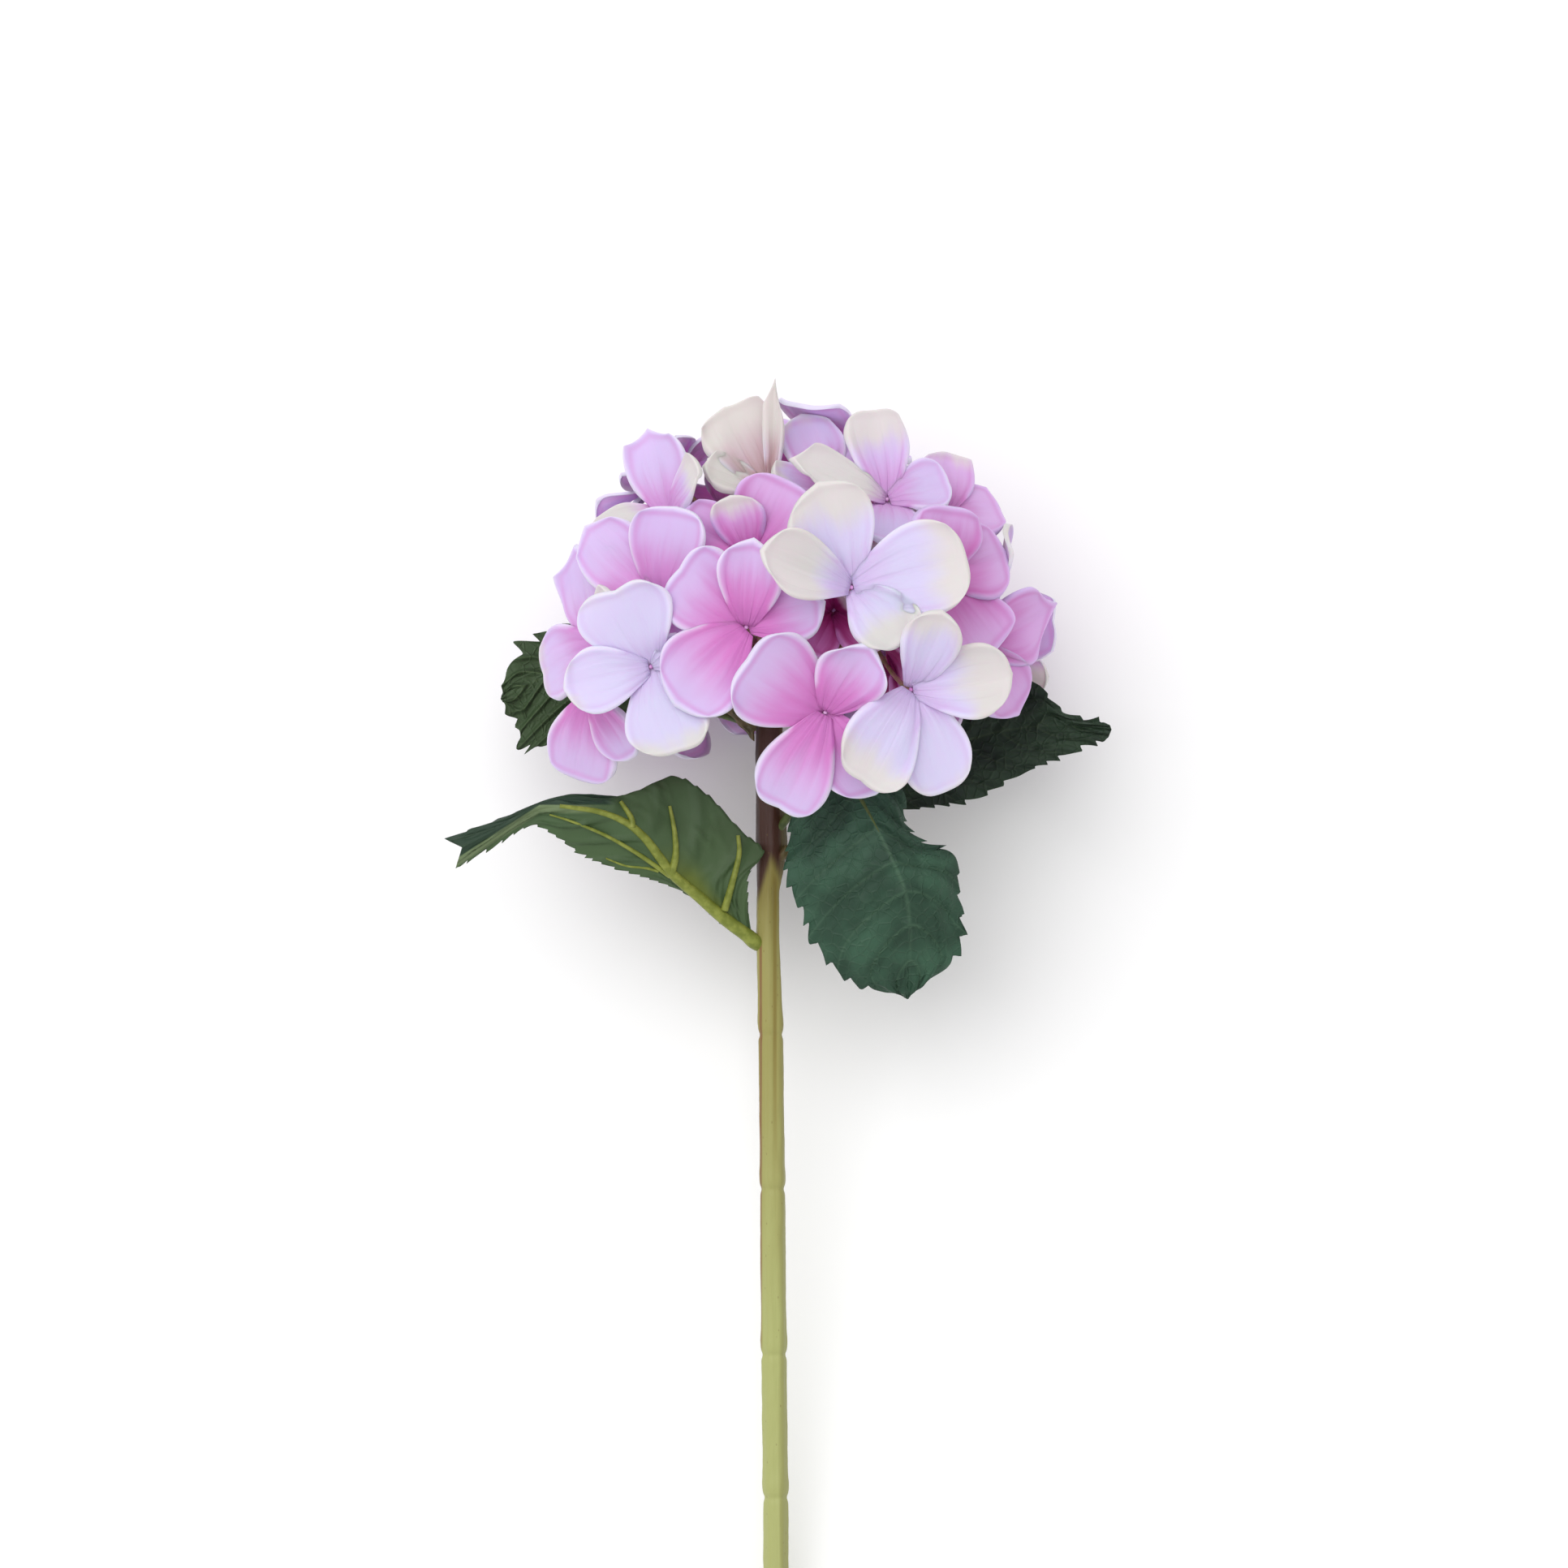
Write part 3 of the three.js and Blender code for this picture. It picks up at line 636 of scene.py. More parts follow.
def model_tip(floret, petal, order, across):
    """Where the model has the middle or a corner of a petal's tip."""
    direction, length, width, lift, curl, cup = petal[:6]
    right, up = facing_frame(floret["out"])
    slope = math.radians(lift + curl / 2)
    reach = length * (1 - TIP_ROUND * across ** 2)
    half = width / 2 * (CLAW_WIDTH + (1 - CLAW_WIDTH) * math.sin(WIDEST))
    rise = cup * width / 2 * across ** 2 + PAIR_STEP * (order % 2)
    outward = CLAW_REACH + reach * math.cos(slope)
    cos, sin = math.cos(math.radians(direction)), math.sin(math.radians(direction))
    point = floret["at"] + right * (outward * cos - half * across * sin)
    point += up * (outward * sin + half * across * cos)
    return laid(point + floret["out"] * (reach * math.sin(slope) + rise))


def settled(floret, petal, order, corners):
    """The petal at the lift and length that the model gave it, or None where it has none."""
    best = (MODEL_GAP, None)
    shares = np.arange(1, SHORTEST, -SHORTEN_STEP)
    for share in shares:
        for step in range(-LIFT_STEPS, LIFT_STEPS + 1):
            tried = list(petal)
            tried[1] = petal[1] * share
            tried[3] = petal[3] + step * LIFT_STEP
            tips = [model_tip(floret, tried, order, across) for across in (-1, 0, 1)]
            misses = [np.linalg.norm(corners - np.array(tip), axis=1).min() for tip in tips]
            miss = sorted(misses)[1]
            if miss < best[0]:
                best = (miss, tried)
    return best[1]


def stalk_foot(floret, corners):
    """Which place on the branches the model's stalk runs to, and where it bends."""
    best = None
    for curve in branch_curves():
        for share in BRANCH_FEET:
            foot = bezier(*curve, share)
            way = (floret["at"] - foot).length * PEDICEL_STRAIGHT
            elbow = floret["at"] - floret["out"] * way
            end = foot - (foot - elbow).normalized() * (BRANCH_RADII[0] + MODEL_GAP)
            gaps = np.sort(np.linalg.norm(corners - np.array(end), axis=1))[:5]
            miss = abs(gaps - PEDICEL_RADIUS).mean()
            if best is None or miss < best[0]:
                best = (miss, elbow, foot)
    return best[1], best[2]


def petal_points(floret, petals, number):
    """A mesh of one point for each petal, with the petal's sizes on it."""
    mesh = bpy.data.meshes.new("petals")
    mesh.vertices.add(len(petals))
    rows = []
    for order, petal in petals:
        direction, length, width, lift, curl, cup, cream, *own = petal
        seed = chance(number * 17 + order * 5)
        row = {
            "direction": math.radians(direction), "length": length, "width": width,
            "lift": math.radians(lift), "curl": math.radians(curl), "cup": cup,
            "step": PAIR_STEP * (order % 2), "ripple": 0.08 + 0.14 * chance(number * 7 + order),
            "skew": 0.16 * (seed - 0.5), "point": 0.1 * chance(number * 11 + order) - 0.03,
            "square": 0.7 * chance(number * 13 + order * 3), "fold": 0.0,
            "seed": seed, "cream": cream, "pink": floret["pink"],
        }
        row.update(own[0] if own else {})
        rows.append(row)
    for label in PETAL_SIZES:
        layer = mesh.attributes.new(label, "FLOAT", "POINT")
        layer.data.foreach_set("value", [row[label] for row in rows])
    return mesh


KEPT_ATTRIBUTES = ("seed", "cream", "pink")


def drop_spare_attributes(mesh):
    for name in [a.name for a in mesh.attributes if a.name in PETAL_SIZES]:
        if name not in KEPT_ATTRIBUTES:
            mesh.attributes.remove(mesh.attributes[name])


def place_piece(mesh, name, node):
    """Lays a finished mesh down on the table as the piece that stands for a node of the model."""
    mesh.transform(LAID_DOWN)
    mesh.name = name
    piece = bpy.data.objects.new(name, mesh)
    bpy.context.scene.collection.objects.link(piece)
    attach(piece, "root")
    if node:
        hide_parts(node)
    return piece


OWN_FINISHES = {
    "floret_crest_cream": "petal_crest",
    "floret_edge_left": "petal_lilac",
    "floret_rose_left": "petal_pink",
    "floret_drop_left": "petal_pink",
    "floret_crest_left": "petal_lilac",
    "floret_crest_middle": "petal_lilac",
    "floret_crest_right": "petal_lilac",
}


def grow_florets(slots, finishes):
    tree = floret_tree()
    names = sorted(name for name in frame["nodes"] if name.startswith("floret_"))
    for number, node in enumerate(names):
        floret = floret_of(node)
        corners = model_points(node)
        fitted = [(order, settled(floret, petal, order, corners))
                  for order, petal in enumerate(floret["petals"])]
        petals = [(order, petal) for order, petal in fitted if petal]
        right, up = facing_frame(floret["out"])
        elbow, foot = stalk_foot(floret, corners)
        mesh = grow(
            tree, petal_points(floret, petals, number), node,
            Middle=floret["at"], Right=right, Up=up, Out=floret["out"], Elbow=elbow, Foot=foot,
            Petal_finish=finishes[OWN_FINISHES.get(node, slots[node])],
            Stalk_finish=finishes["stalk"],
            Bud_finish=finishes["bud"],
        )
        drop_spare_attributes(mesh)
        place_piece(mesh, node + "_bloom", node)


# ---- Leaves ----

LEAF_ROWS = 170
LEAF_COLUMNS = 60
VEIN_HEIGHT = 0.4

# Each blade is three lines from its foot to its tip: one margin, the rib and the other margin.
# Each vein is a line of places across the blade and the radii at its ends. A rib is its radii
# and how much of the blade it reaches along, and the teeth are their count and their length.
LEAVES = {
    "left_leaf": {
        "finish": "leaf_under",
        "stalk": [(-3.2, -64.5, 0.6), (-5, -63.4, 2.2)],
        "rib": (2.2, 0.6, 0.74),
        "teeth": (26, 1.0),
        "puff": 0.7,
        "blade": [
            [(-7, -63, 2.5), (-14.5, -58, 5), (-23, -50.8, 7.5), (-32, -46, 9), (-40, -42.6, 12),
             (-50, -39.6, 15), (-58, -36, 18), (-64, -31.5, 21), (-72, -27, 23.5),
             (-84, -34, 26), (-95.5, -41, 27)],
            [(-6.5, -62, 3), (-14, -56.5, 5.5), (-22, -49.5, 8.5), (-30, -42.5, 12),
             (-37, -33, 16), (-43, -27.5, 19), (-51, -24, 22), (-60, -22.5, 24.5),
             (-70, -22, 26), (-82, -28.5, 29), (-93.5, -34.5, 29)],
            [(-5.6, -60.5, 3.4), (-6.9, -51, 6), (-6.6, -43, 8), (-1.9, -36, 7.5),
             (-9, -29.6, 8), (-20, -18.5, 8.5), (-30, -13, 11), (-42, -18.2, 15),
             (-62, -19, 21), (-80, -26, 25), (-99, -32, 25)],
        ],
        "veins": [
            ([(-30, -42.5), (-28.7, -37), (-29, -30), (-30.5, -22)], 1.3, 0.5),
            ([(-42, -28.5), (-42.3, -25.5), (-45.5, -20.5)], 1.2, 0.6),
            ([(-13.8, -54), (-11.5, -46), (-9.3, -37), (-9.6, -31)], 1.2, 0.6),
            ([(-30.5, -43.5), (-40, -36.8), (-50, -31), (-60, -26.8), (-67, -24.6)], 0.8, 0.25),
            ([(-34, -42), (-38, -41), (-44, -40.3), (-50, -38)], 0.5, 0.25),
        ],
    },
    "right_leaf": {
        "finish": "leaf",
        "stalk": [(2, -30, 2), (5.2, -26, 4.2), (10, -18, 9), (16, -11, 14)],
        "rib": (1.2, 0.2, 0.3),
        "teeth": (13, 2.3),
        "puff": 2.2,
        "blade": [
            [(14, -10, 16), (8, -20, 19), (6.2, -32, 20), (6.2, -43, 22), (10.4, -53, 22.5),
             (15, -64, 22), (25, -74, 19), (41, -80, 15)],
            [(22, -7, 18), (27, -18, 25), (33, -29, 30), (38, -39, 31.5), (41.5, -48, 30.5),
             (43, -58, 27), (43, -69, 21), (42.3, -81, 15)],
            [(33, -6, 17), (40.5, -18, 21), (41, -26, 23), (46.5, -33.3, 24), (56, -38, 24),
             (57.6, -50, 22.5), (57, -65, 19), (43.5, -79, 15)],
        ],
        "veins": [],
    },
    "right_back_leaf": {
        "finish": "leaf_in_shade",
        "stalk": [(2, -18, -1), (5.6, -14, -2.4), (14, -9, -6), (22, -8, -8)],
        "rib": (1.2, 0.2, 0.3),
        "teeth": (14, 1.6),
        "puff": 1.0,
        "blade": [
            [(24, -13, -9), (38, -22.5, -8), (50, -22, -8.5), (62, -19.5, -9), (72, -14.5, -10),
             (84, -9, -9.5), (95, -3.4, -7), (104.5, -1, -4)],
            [(24, -7, -9), (36, -7, -11), (48, -4, -14), (60, -2, -16), (72, 1, -16),
             (83, 2.5, -13), (94, 2.5, -9), (105.5, 1.5, -4)],
            [(30, 2, -11), (40, 12, -14.5), (52, 19, -19), (63, 22, -22), (74, 21.5, -21),
             (83, 15, -16), (92, 6, -10), (105, 3, -4)],
        ],
        "veins": [],
    },
    "left_back_leaf": {
        "finish": "leaf_in_shade",
        "stalk": [(-2, 1, -1), (-5.4, 3, -2.6), (-14, 6, -7), (-24, 8.5, -10.5)],
        "rib": (1.1, 0.2, 0.3),
        "teeth": (7, 3.2),
        "puff": 0.5,
        "blade": [
            [(-26, 3, -12), (-40, 0, -14), (-55, -1.5, -15), (-68, -0.5, -14), (-77.5, -4, -12),
             (-76.5, 3, -12), (-82, 10, -9)],
            [(-25, 7, -12), (-36, 12, -16), (-47, 16, -18.5), (-58, 18.5, -18.5),
             (-67, 18.5, -16), (-75, 15.5, -12.5), (-83, 11, -9)],
            [(-28, 14, -13), (-38, 25, -17), (-49, 31.5, -21), (-60, 33, -21), (-71, 29, -18),
             (-79, 22, -13), (-82.5, 12.5, -9)],
        ],
        "veins": [],
    },
}

SCALE = [
    [(-4.6, -2, 3), (-10, 4, 6), (-18, 11, 9)],
    [(-4.8, 1, 6), (-9, 8, 10), (-16, 14, 13)],
    [(-3, 5, 5.6), (-6, 12, 9), (-12, 17, 12)],
]


def curve_through(points, shares):
    """Points of a centripetal Catmull-Rom curve through a list of points."""
    points = np.array(points, float)
    padded = np.vstack((2 * points[0] - points[1], points, 2 * points[-1] - points[-2]))
    places = np.clip(np.array(shares) * (len(points) - 1), 0, len(points) - 1 - 1e-9)
    first = places.astype(int)
    share = (places - first)[:, None]
    a, b, c, d = (padded[first + k] for k in range(4))
    ab, bc, cd = (np.linalg.norm(q - p, axis=1, keepdims=True) ** 0.5
                  for p, q in ((a, b), (b, c), (c, d)))
    leaving = ((b - a) / ab - (c - a) / (ab + bc) + (c - b) / bc) * bc
    coming = ((c - b) / bc - (d - b) / (bc + cd) + (d - c) / cd) * bc
    s2, s3 = share ** 2, share ** 3
    return (b * (2 * s3 - 3 * s2 + 1) + leaving * (s3 - 2 * s2 + share)
            + c * (3 * s2 - 2 * s3) + coming * (s3 - s2))


def new_mesh(name, vertices, faces, edges=()):
    mesh = bpy.data.meshes.new(name)
    mesh.from_pydata([tuple(v) for v in vertices], edges, faces)
    mesh.update()
    return mesh


def put_numbers(mesh, name, values):
    layer = mesh.attributes.new(name, "FLOAT", "POINT")
    layer.data.foreach_set("value", np.ascontiguousarray(values, np.float32).ravel())


def put_vectors(mesh, name, values):
    layer = mesh.attributes.new(name, "FLOAT_VECTOR", "POINT")
    layer.data.foreach_set("vector", np.ascontiguousarray(values, np.float32).ravel())


def slab_faces(rows, columns):
    """Faces of two skins of a grid and of the wall round their rim."""
    grid = np.arange(rows * columns).reshape(rows, columns)
    cells = np.stack((grid[:-1, :-1], grid[1:, :-1], grid[1:, 1:], grid[:-1, 1:]), -1)
    cells = cells.reshape(-1, 4)
    rim = np.concatenate((grid[:, 0], grid[-1, 1:], grid[-2::-1, -1], grid[0, -2:0:-1]))
    after = np.roll(rim, -1)
    back = rows * columns
    wall = np.stack((rim, rim + back, after + back, after), -1)
    faces = np.concatenate((cells, (cells + back)[:, ::-1], wall))
    return [tuple(int(i) for i in face) for face in faces]


def blade_base(lines, rows, columns):
    """A slab without thickness between three lines, with its directions as attributes."""
    left, rib, right = (curve_through(line, np.linspace(0, 1, rows)) for line in lines)
    across = np.linspace(-1, 1, columns)
    share = np.abs(across)[None, :, None]
    edge = np.where((across < 0)[None, :, None], left[:, None], right[:, None])
    place = rib[:, None] * (1 - share) + edge * share
    down = np.gradient(place, axis=0)
    over = np.gradient(place, axis=1)
    normal = np.cross(down, over)
    normal /= np.maximum(np.linalg.norm(normal, axis=2, keepdims=True), 1e-6)
    outward = (edge - rib[:, None]) * np.ones_like(place)
    outward /= np.maximum(np.linalg.norm(outward, axis=2, keepdims=True), 1e-6)
    forward = down / np.maximum(np.linalg.norm(down, axis=2, keepdims=True), 1e-6)
    along = np.broadcast_to(np.linspace(0, 1, rows)[:, None], (rows, columns))
    across = np.broadcast_to(across[None, :], (rows, columns))
    twice = [place.reshape(-1, 3)] * 2
    mesh = new_mesh("blade", np.concatenate(twice), slab_faces(rows, columns))
    put_numbers(mesh, "along", np.concatenate([along.ravel()] * 2))
    put_numbers(mesh, "across", np.concatenate([across.ravel()] * 2))
    put_numbers(mesh, "skin", np.repeat((-1, 1), rows * columns))
    for name, values in (("normal_way", normal), ("outward", outward), ("forward", forward)):
        put_vectors(mesh, name, np.concatenate([values.reshape(-1, 3)] * 2))
    return mesh


def vein_phase(along, across, count, sweep):
    """Counts the side veins along a blade: a whole number on each of them."""
    return (along - size_of(across) ** 1.25 * sweep) * count


def blade_tree():
    """Gives a blade its thickness, its teeth, and the puffs between its side veins."""
    tree, given = new_tree("blade", {
        "Thickness": ("number", 0.6),
        "Teeth": ("number", 22),
        "Tooth length": ("number", 1.6),
        "Veins": ("number", 7),
        "Sweep": ("number", 0.24),
        "Puff": ("number", 1.1),
        "Wave": ("number", 0.8),
        "Crease": ("number", 0.5),
        "Seed": ("number", 0),
        "Finish": ("finish", None),
    })
    along, across, skin = (named(tree, name) for name in ("along", "across", "skin"))
    normal, outward, forward = (
        named_vector(tree, name) for name in ("normal_way", "outward", "forward")
    )
    edge = size_of(across)
    noise = node_in(tree, "ShaderNodeTexNoise", {"noise_dimensions": "4D"},
                    W=given["Seed"], Scale=0.07, Detail=1.0)
    unevenness = out_of(noise, "Fac") - 0.5
    place = along * given["Teeth"] + unevenness * 3.0
    tooth = calculate("FRACT", place + calculate("SIGN", across) * 0.21)
    tooth = tooth * (1 - ramp(tooth, 0.86, 1.0))
    fade = ramp(along, 0.02, 0.12) * (1 - ramp(along, 0.96, 1.0))
    size = given["Tooth length"] * (unevenness * 3 + 1) * (along + 0.5)
    reach = ramp(edge, 0.84, 1.0) * tooth * size * fade
    phase = vein_phase(along, across, given["Veins"], given["Sweep"])
    between = size_of(sine(phase * math.pi))
    puff = between ** 0.6 * sine(edge * math.pi) * given["Puff"] * fade
    wave = sine(along * 17 + across * 2.5 + given["Seed"] * 9) * edge ** 2 * given["Wave"] * fade
    fan = node_in(tree, "ShaderNodeCombineXYZ", X=along * 9 - edge * 4, Y=across * 2.2,
                  Z=given["Seed"] * 5)
    folds = node_in(tree, "ShaderNodeTexNoise", Vector=out_of(fan), Scale=0.8, Detail=1.0)
    crease = 1 - ramp(size_of(out_of(folds, "Fac") - 0.5), 0.0, 0.07)
    crease = crease * given["Crease"] * sine(edge * math.pi) * fade
    rise = puff + wave + unevenness * 1.2 - crease
    body = skin * given["Thickness"] * 0.5 * (1 - ramp(edge, 0.7, 1.0) * 0.6)
    offset = normal * (rise + body) + outward * reach + forward * (reach * 0.7)
    moved = node_in(tree, "GeometryNodeSetPosition", Geometry=given["Geometry"], Offset=offset)
    end_tree(tree, finished(tree, out_of(moved), given["Finish"]))
    return tree


def tube_tree():
    """A round limb through the base mesh's points, as thick as their radius attribute says."""
    tree, given = new_tree("tube", {
        "Sides": ("count", 12),
        "Steps": ("count", 8),
        "Finish": ("finish", None),
    })
    line = node_in(tree, "GeometryNodeMeshToCurve", Mesh=given["Geometry"])
    line = node_in(tree, "GeometryNodeCurveSplineType", {"spline_type": "CATMULL_ROM"},
                   Curve=out_of(line))
    line = node_in(tree, "GeometryNodeSetSplineResolution", Geometry=out_of(line),
                   Resolution=given["Steps"])
    ring = node_in(tree, "GeometryNodeCurvePrimitiveCircle", {"mode": "RADIUS"},
                   Resolution=given["Sides"], Radius=1.0)
    tube = node_in(tree, "GeometryNodeCurveToMesh", Curve=out_of(line), Profile_Curve=out_of(ring),
                   Scale=named(tree, "radius"), Fill_Caps=True)
    end_tree(tree, finished(tree, out_of(tube), given["Finish"]))
    return tree


def line_base(lines):
    """A mesh of lines, each a list of points and a list of their radii."""
    vertices, edges, radii = [], [], []
    for points, thickness in lines:
        start = len(vertices)
        vertices += [tuple(p) for p in points]
        radii += list(thickness)
        edges += [(start + i, start + i + 1) for i in range(len(points) - 1)]
    mesh = new_mesh("lines", vertices, [], edges)
    put_numbers(mesh, "radius", radii)
    return mesh


def joined(name, meshes):
    """One mesh of several, in the plant frame."""
    pieces = []
    for mesh in meshes:
        piece = bpy.data.objects.new(name, mesh)
        bpy.context.scene.collection.objects.link(piece)
        pieces.append(piece)
    with bpy.context.temp_override(active_object=pieces[0], selected_editable_objects=pieces):
        bpy.ops.object.join()
    mesh = pieces[0].data
    bpy.data.objects.remove(pieces[0])
    return mesh


def on_blade(base, places, height):
    """Lifts places across a blade on to its skin."""
    skin = np.array([v.co for v in base.vertices])
    lifted = []
    for x, y in places:
        near = np.argmin((skin[:, 0] - x) ** 2 + (skin[:, 1] - y) ** 2)
        lifted.append((x, y, skin[near, 2] + height))
    return lifted


def leaf_lines(shape, base):
    """The stalk with its rib, and the raised veins, as lines and radii."""
    thick, thin, reach = shape["rib"]
    rib = curve_through(shape["blade"][1], np.linspace(0.01, reach, 16))
    path = shape["stalk"] + [tuple(p) for p in rib]
    ends = [thick * 1.1] * len(shape["stalk"])
    lines = [(path, ends + list(np.linspace(thick, thin, len(rib))))]
    for places, foot, tip in shape["veins"]:
        line = on_blade(base, places, VEIN_HEIGHT)
        lines.append((line, np.linspace(foot, tip, len(line))))
    return line_base(lines)


def grow_leaves(trees, finishes):
    for number, (name, shape) in enumerate(LEAVES.items()):
        base = blade_base(shape["blade"], LEAF_ROWS, LEAF_COLUMNS)
        lines = leaf_lines(shape, base)
        count, length = shape["teeth"]
        blade = grow(trees["blade"], base, name, Seed=float(number), Teeth=float(count),
                     Tooth_length=length, Puff=shape["puff"], Finish=finishes[shape["finish"]])
        rib = "leaf_rib" if shape["veins"] else "leaf_stalk"
        limbs = grow(trees["tube"], lines, name + "_limbs", Finish=finishes[rib])
        place_piece(joined(name, [blade, limbs]), name + "_grown", name)


# ---- Stem ----

STEM_COURSE = [
    (12, 0.8, 4.0), (4, 0, 4.0), (-6, -0.2, 4.1), (-22, 0.4, 4.6), (-34, 0.7, 4.9),
    (-40, 0.4, 4.3), (-48, -0.4, 3.5), (-62, -0.5, 3.6), (-90, 0.4, 3.9), (-140, 1.0, 3.85),
    (-190, 1.4, 3.8), (-240, 2.0, 3.75), (-343, 2.2, 3.75),
]
STEM_JOINTS = (-92.5, -140, -191, -235, -281, -324)
STEM_ROWS = 700
STEM_SIDES = 40
CUT_SLANT = 5
STUB = [(3, -38, 2), (4.6, -36.5, 3.4), (5.2, -34, 3.8)]
STUB_RADII = (1.6, 1.5, 0.5)


def stem_base():
    """The stem's skin as rings, closed at both ends."""
    heights, places, radii = (np.array(column, float) for column in zip(*STEM_COURSE))
    y = np.linspace(heights[0], heights[-1], STEM_ROWS)
    x = np.interp(-y, -heights, places)
    r = np.interp(-y, -heights, radii)
    turn = np.linspace(0, 2 * math.pi, STEM_SIDES, endpoint=False)
    ring = np.stack((np.cos(turn), np.zeros_like(turn), np.sin(turn)), 1)
    way = np.repeat(ring[None], STEM_ROWS, axis=0)
    middle = np.stack((x, y, np.zeros_like(y)), 1)[:, None]
    slant = np.zeros_like(way)
    slant[-1, :, 1] = -CUT_SLANT / 2 * np.sin(turn)
    place = middle + way * r[:, None, None] + slant
    grid = np.arange(STEM_ROWS * STEM_SIDES).reshape(STEM_ROWS, STEM_SIDES)
    beside = np.roll(grid, -1, axis=1)
    cells = np.stack((grid[:-1], beside[:-1], beside[1:], grid[1:]), -1).reshape(-1, 4)
    faces = [tuple(int(i) for i in cell) for cell in cells]
    faces += [tuple(int(i) for i in grid[0][::-1]), tuple(int(i) for i in grid[-1])]
    mesh = new_mesh("stem", place.reshape(-1, 3), faces)
    put_vectors(mesh, "around", way.reshape(-1, 3))
    return mesh


def stem_tree():
    """Presses the joints and ribs into the stem's skin."""
    tree, given = new_tree("stem", {
        "Joint depth": ("number", 0.45),
        "Joint reach": ("number", 1.1),
        "Rib": ("number", 0.14),
        "Roughness": ("number", 0.25),
        "Finish": ("finish", None),
    })
    place = out_of(tree.nodes.new("GeometryNodeInputPosition"))
    height = out_of(node_in(tree, "ShaderNodeSeparateXYZ", Vector=place), "Y")
    around = named_vector(tree, "around")
    split = node_in(tree, "ShaderNodeSeparateXYZ", Vector=around)
    turn = calculate("ARCTAN2", out_of(split, "Z"), out_of(split, "X"))
    dent = None
    for joint in STEM_JOINTS:
        near = (height - joint) / given["Joint reach"]
        groove = calculate("EXPONENT", near ** 2 * -1)
        swelling = calculate("EXPONENT", ((height - joint - 4) / 2.6) ** 2 * -1) * 0.5
        here = groove - swelling
        dent = here if dent is None else dent + here
    ribs = sine(turn * 6 + height * 0.02) * given["Rib"]
    noise = node_in(tree, "ShaderNodeTexNoise", Vector=place * (1.0, 0.25, 1.0), Scale=0.5,
                    Detail=2.0)
    bark = (out_of(noise, "Fac") - 0.5) * given["Roughness"] * 2
    offset = around * (ribs + bark - dent * given["Joint depth"])
    moved = node_in(tree, "GeometryNodeSetPosition", Geometry=given["Geometry"], Offset=offset)
    end_tree(tree, finished(tree, out_of(moved), given["Finish"]))
    return tree


def grow_stem(trees, finishes):
    skin = grow(trees["stem"], stem_base(), "stem", Finish=finishes["stem"])
    shares = np.linspace(0, 1, 7)
    lines = []
    for curve in branch_curves():
        points = [bezier(*curve, share) for share in shares]
        lines.append((points, np.interp(shares, (0, 1), BRANCH_RADII)))
    branches = grow(trees["tube"], line_base(lines), "branches", Finish=finishes["stalk"])
    stub = grow(trees["tube"], line_base([(STUB, STUB_RADII)]), "stub", Finish=finishes["stem"])
    place_piece(joined("stem", [skin, branches, stub]), "stem_grown", "stem")


def grow_scale(trees, finishes):
    scale = grow(trees["blade"], blade_base(SCALE, 40, 24), "scale", Thickness=0.9, Teeth=3.0,
                 Tooth_length=0.4, Puff=0.4, Wave=0.3, Seed=7.0, Finish=finishes["scale"])
    place_piece(scale, "crown_scale_grown", "crown_scale")


# ---- Finishes ----


def colour(red, green, blue):
    """A colour given as eight-bit screen values."""
    screen = (np.array((red, green, blue)) / 255).tolist()
    linear = [s / 12.92 if s < 0.04 else ((s + 0.055) / 1.055) ** 2.4 for s in screen]
    return (*linear, 1.0)


def mixed(share, first, second):
    node = share.tree.nodes.new("ShaderNodeMix")
    node.data_type = "RGBA"
    feed(share.tree, node.inputs[0], share)
    feed(share.tree, node.inputs[6], first)
    feed(share.tree, node.inputs[7], second)
    return Flow(share.tree, node.outputs[2])


def attribute(tree, name, output="Fac"):
    node = node_in(tree, "ShaderNodeAttribute", {"attribute_name": name})
    return out_of(node, output)


def new_finish(name, roughness, **constants):
    """A material whose Principled sockets are set from the names given, spaces as underscores."""
    material = bpy.data.materials.new(name)
    material.use_nodes = True
    tree = material.node_tree
    shader = tree.nodes["Principled BSDF"]
    shader.inputs["Roughness"].default_value = roughness
    for label, value in constants.items():
        shader.inputs[label.replace("_", " ")].default_value = value
    return material, tree, shader


def relief(tree, shader, height, distance):
    bump = node_in(tree, "ShaderNodeBump", Height=height, Distance=distance, Strength=1.0)
    tree.links.new(bump.outputs[0], shader.inputs["Normal"])


THROAT = colour(206, 116, 188)
PINK = colour(220, 162, 220)
LILAC = colour(204, 186, 230)
PALE = colour(208, 200, 236)
ROSE = colour(212, 174, 224)
CREST = colour(204, 184, 188)
DEEP_PINK_IN_SHADE = colour(206, 122, 184)
WHITE = colour(228, 223, 242)
CREAM = colour(214, 209, 203)


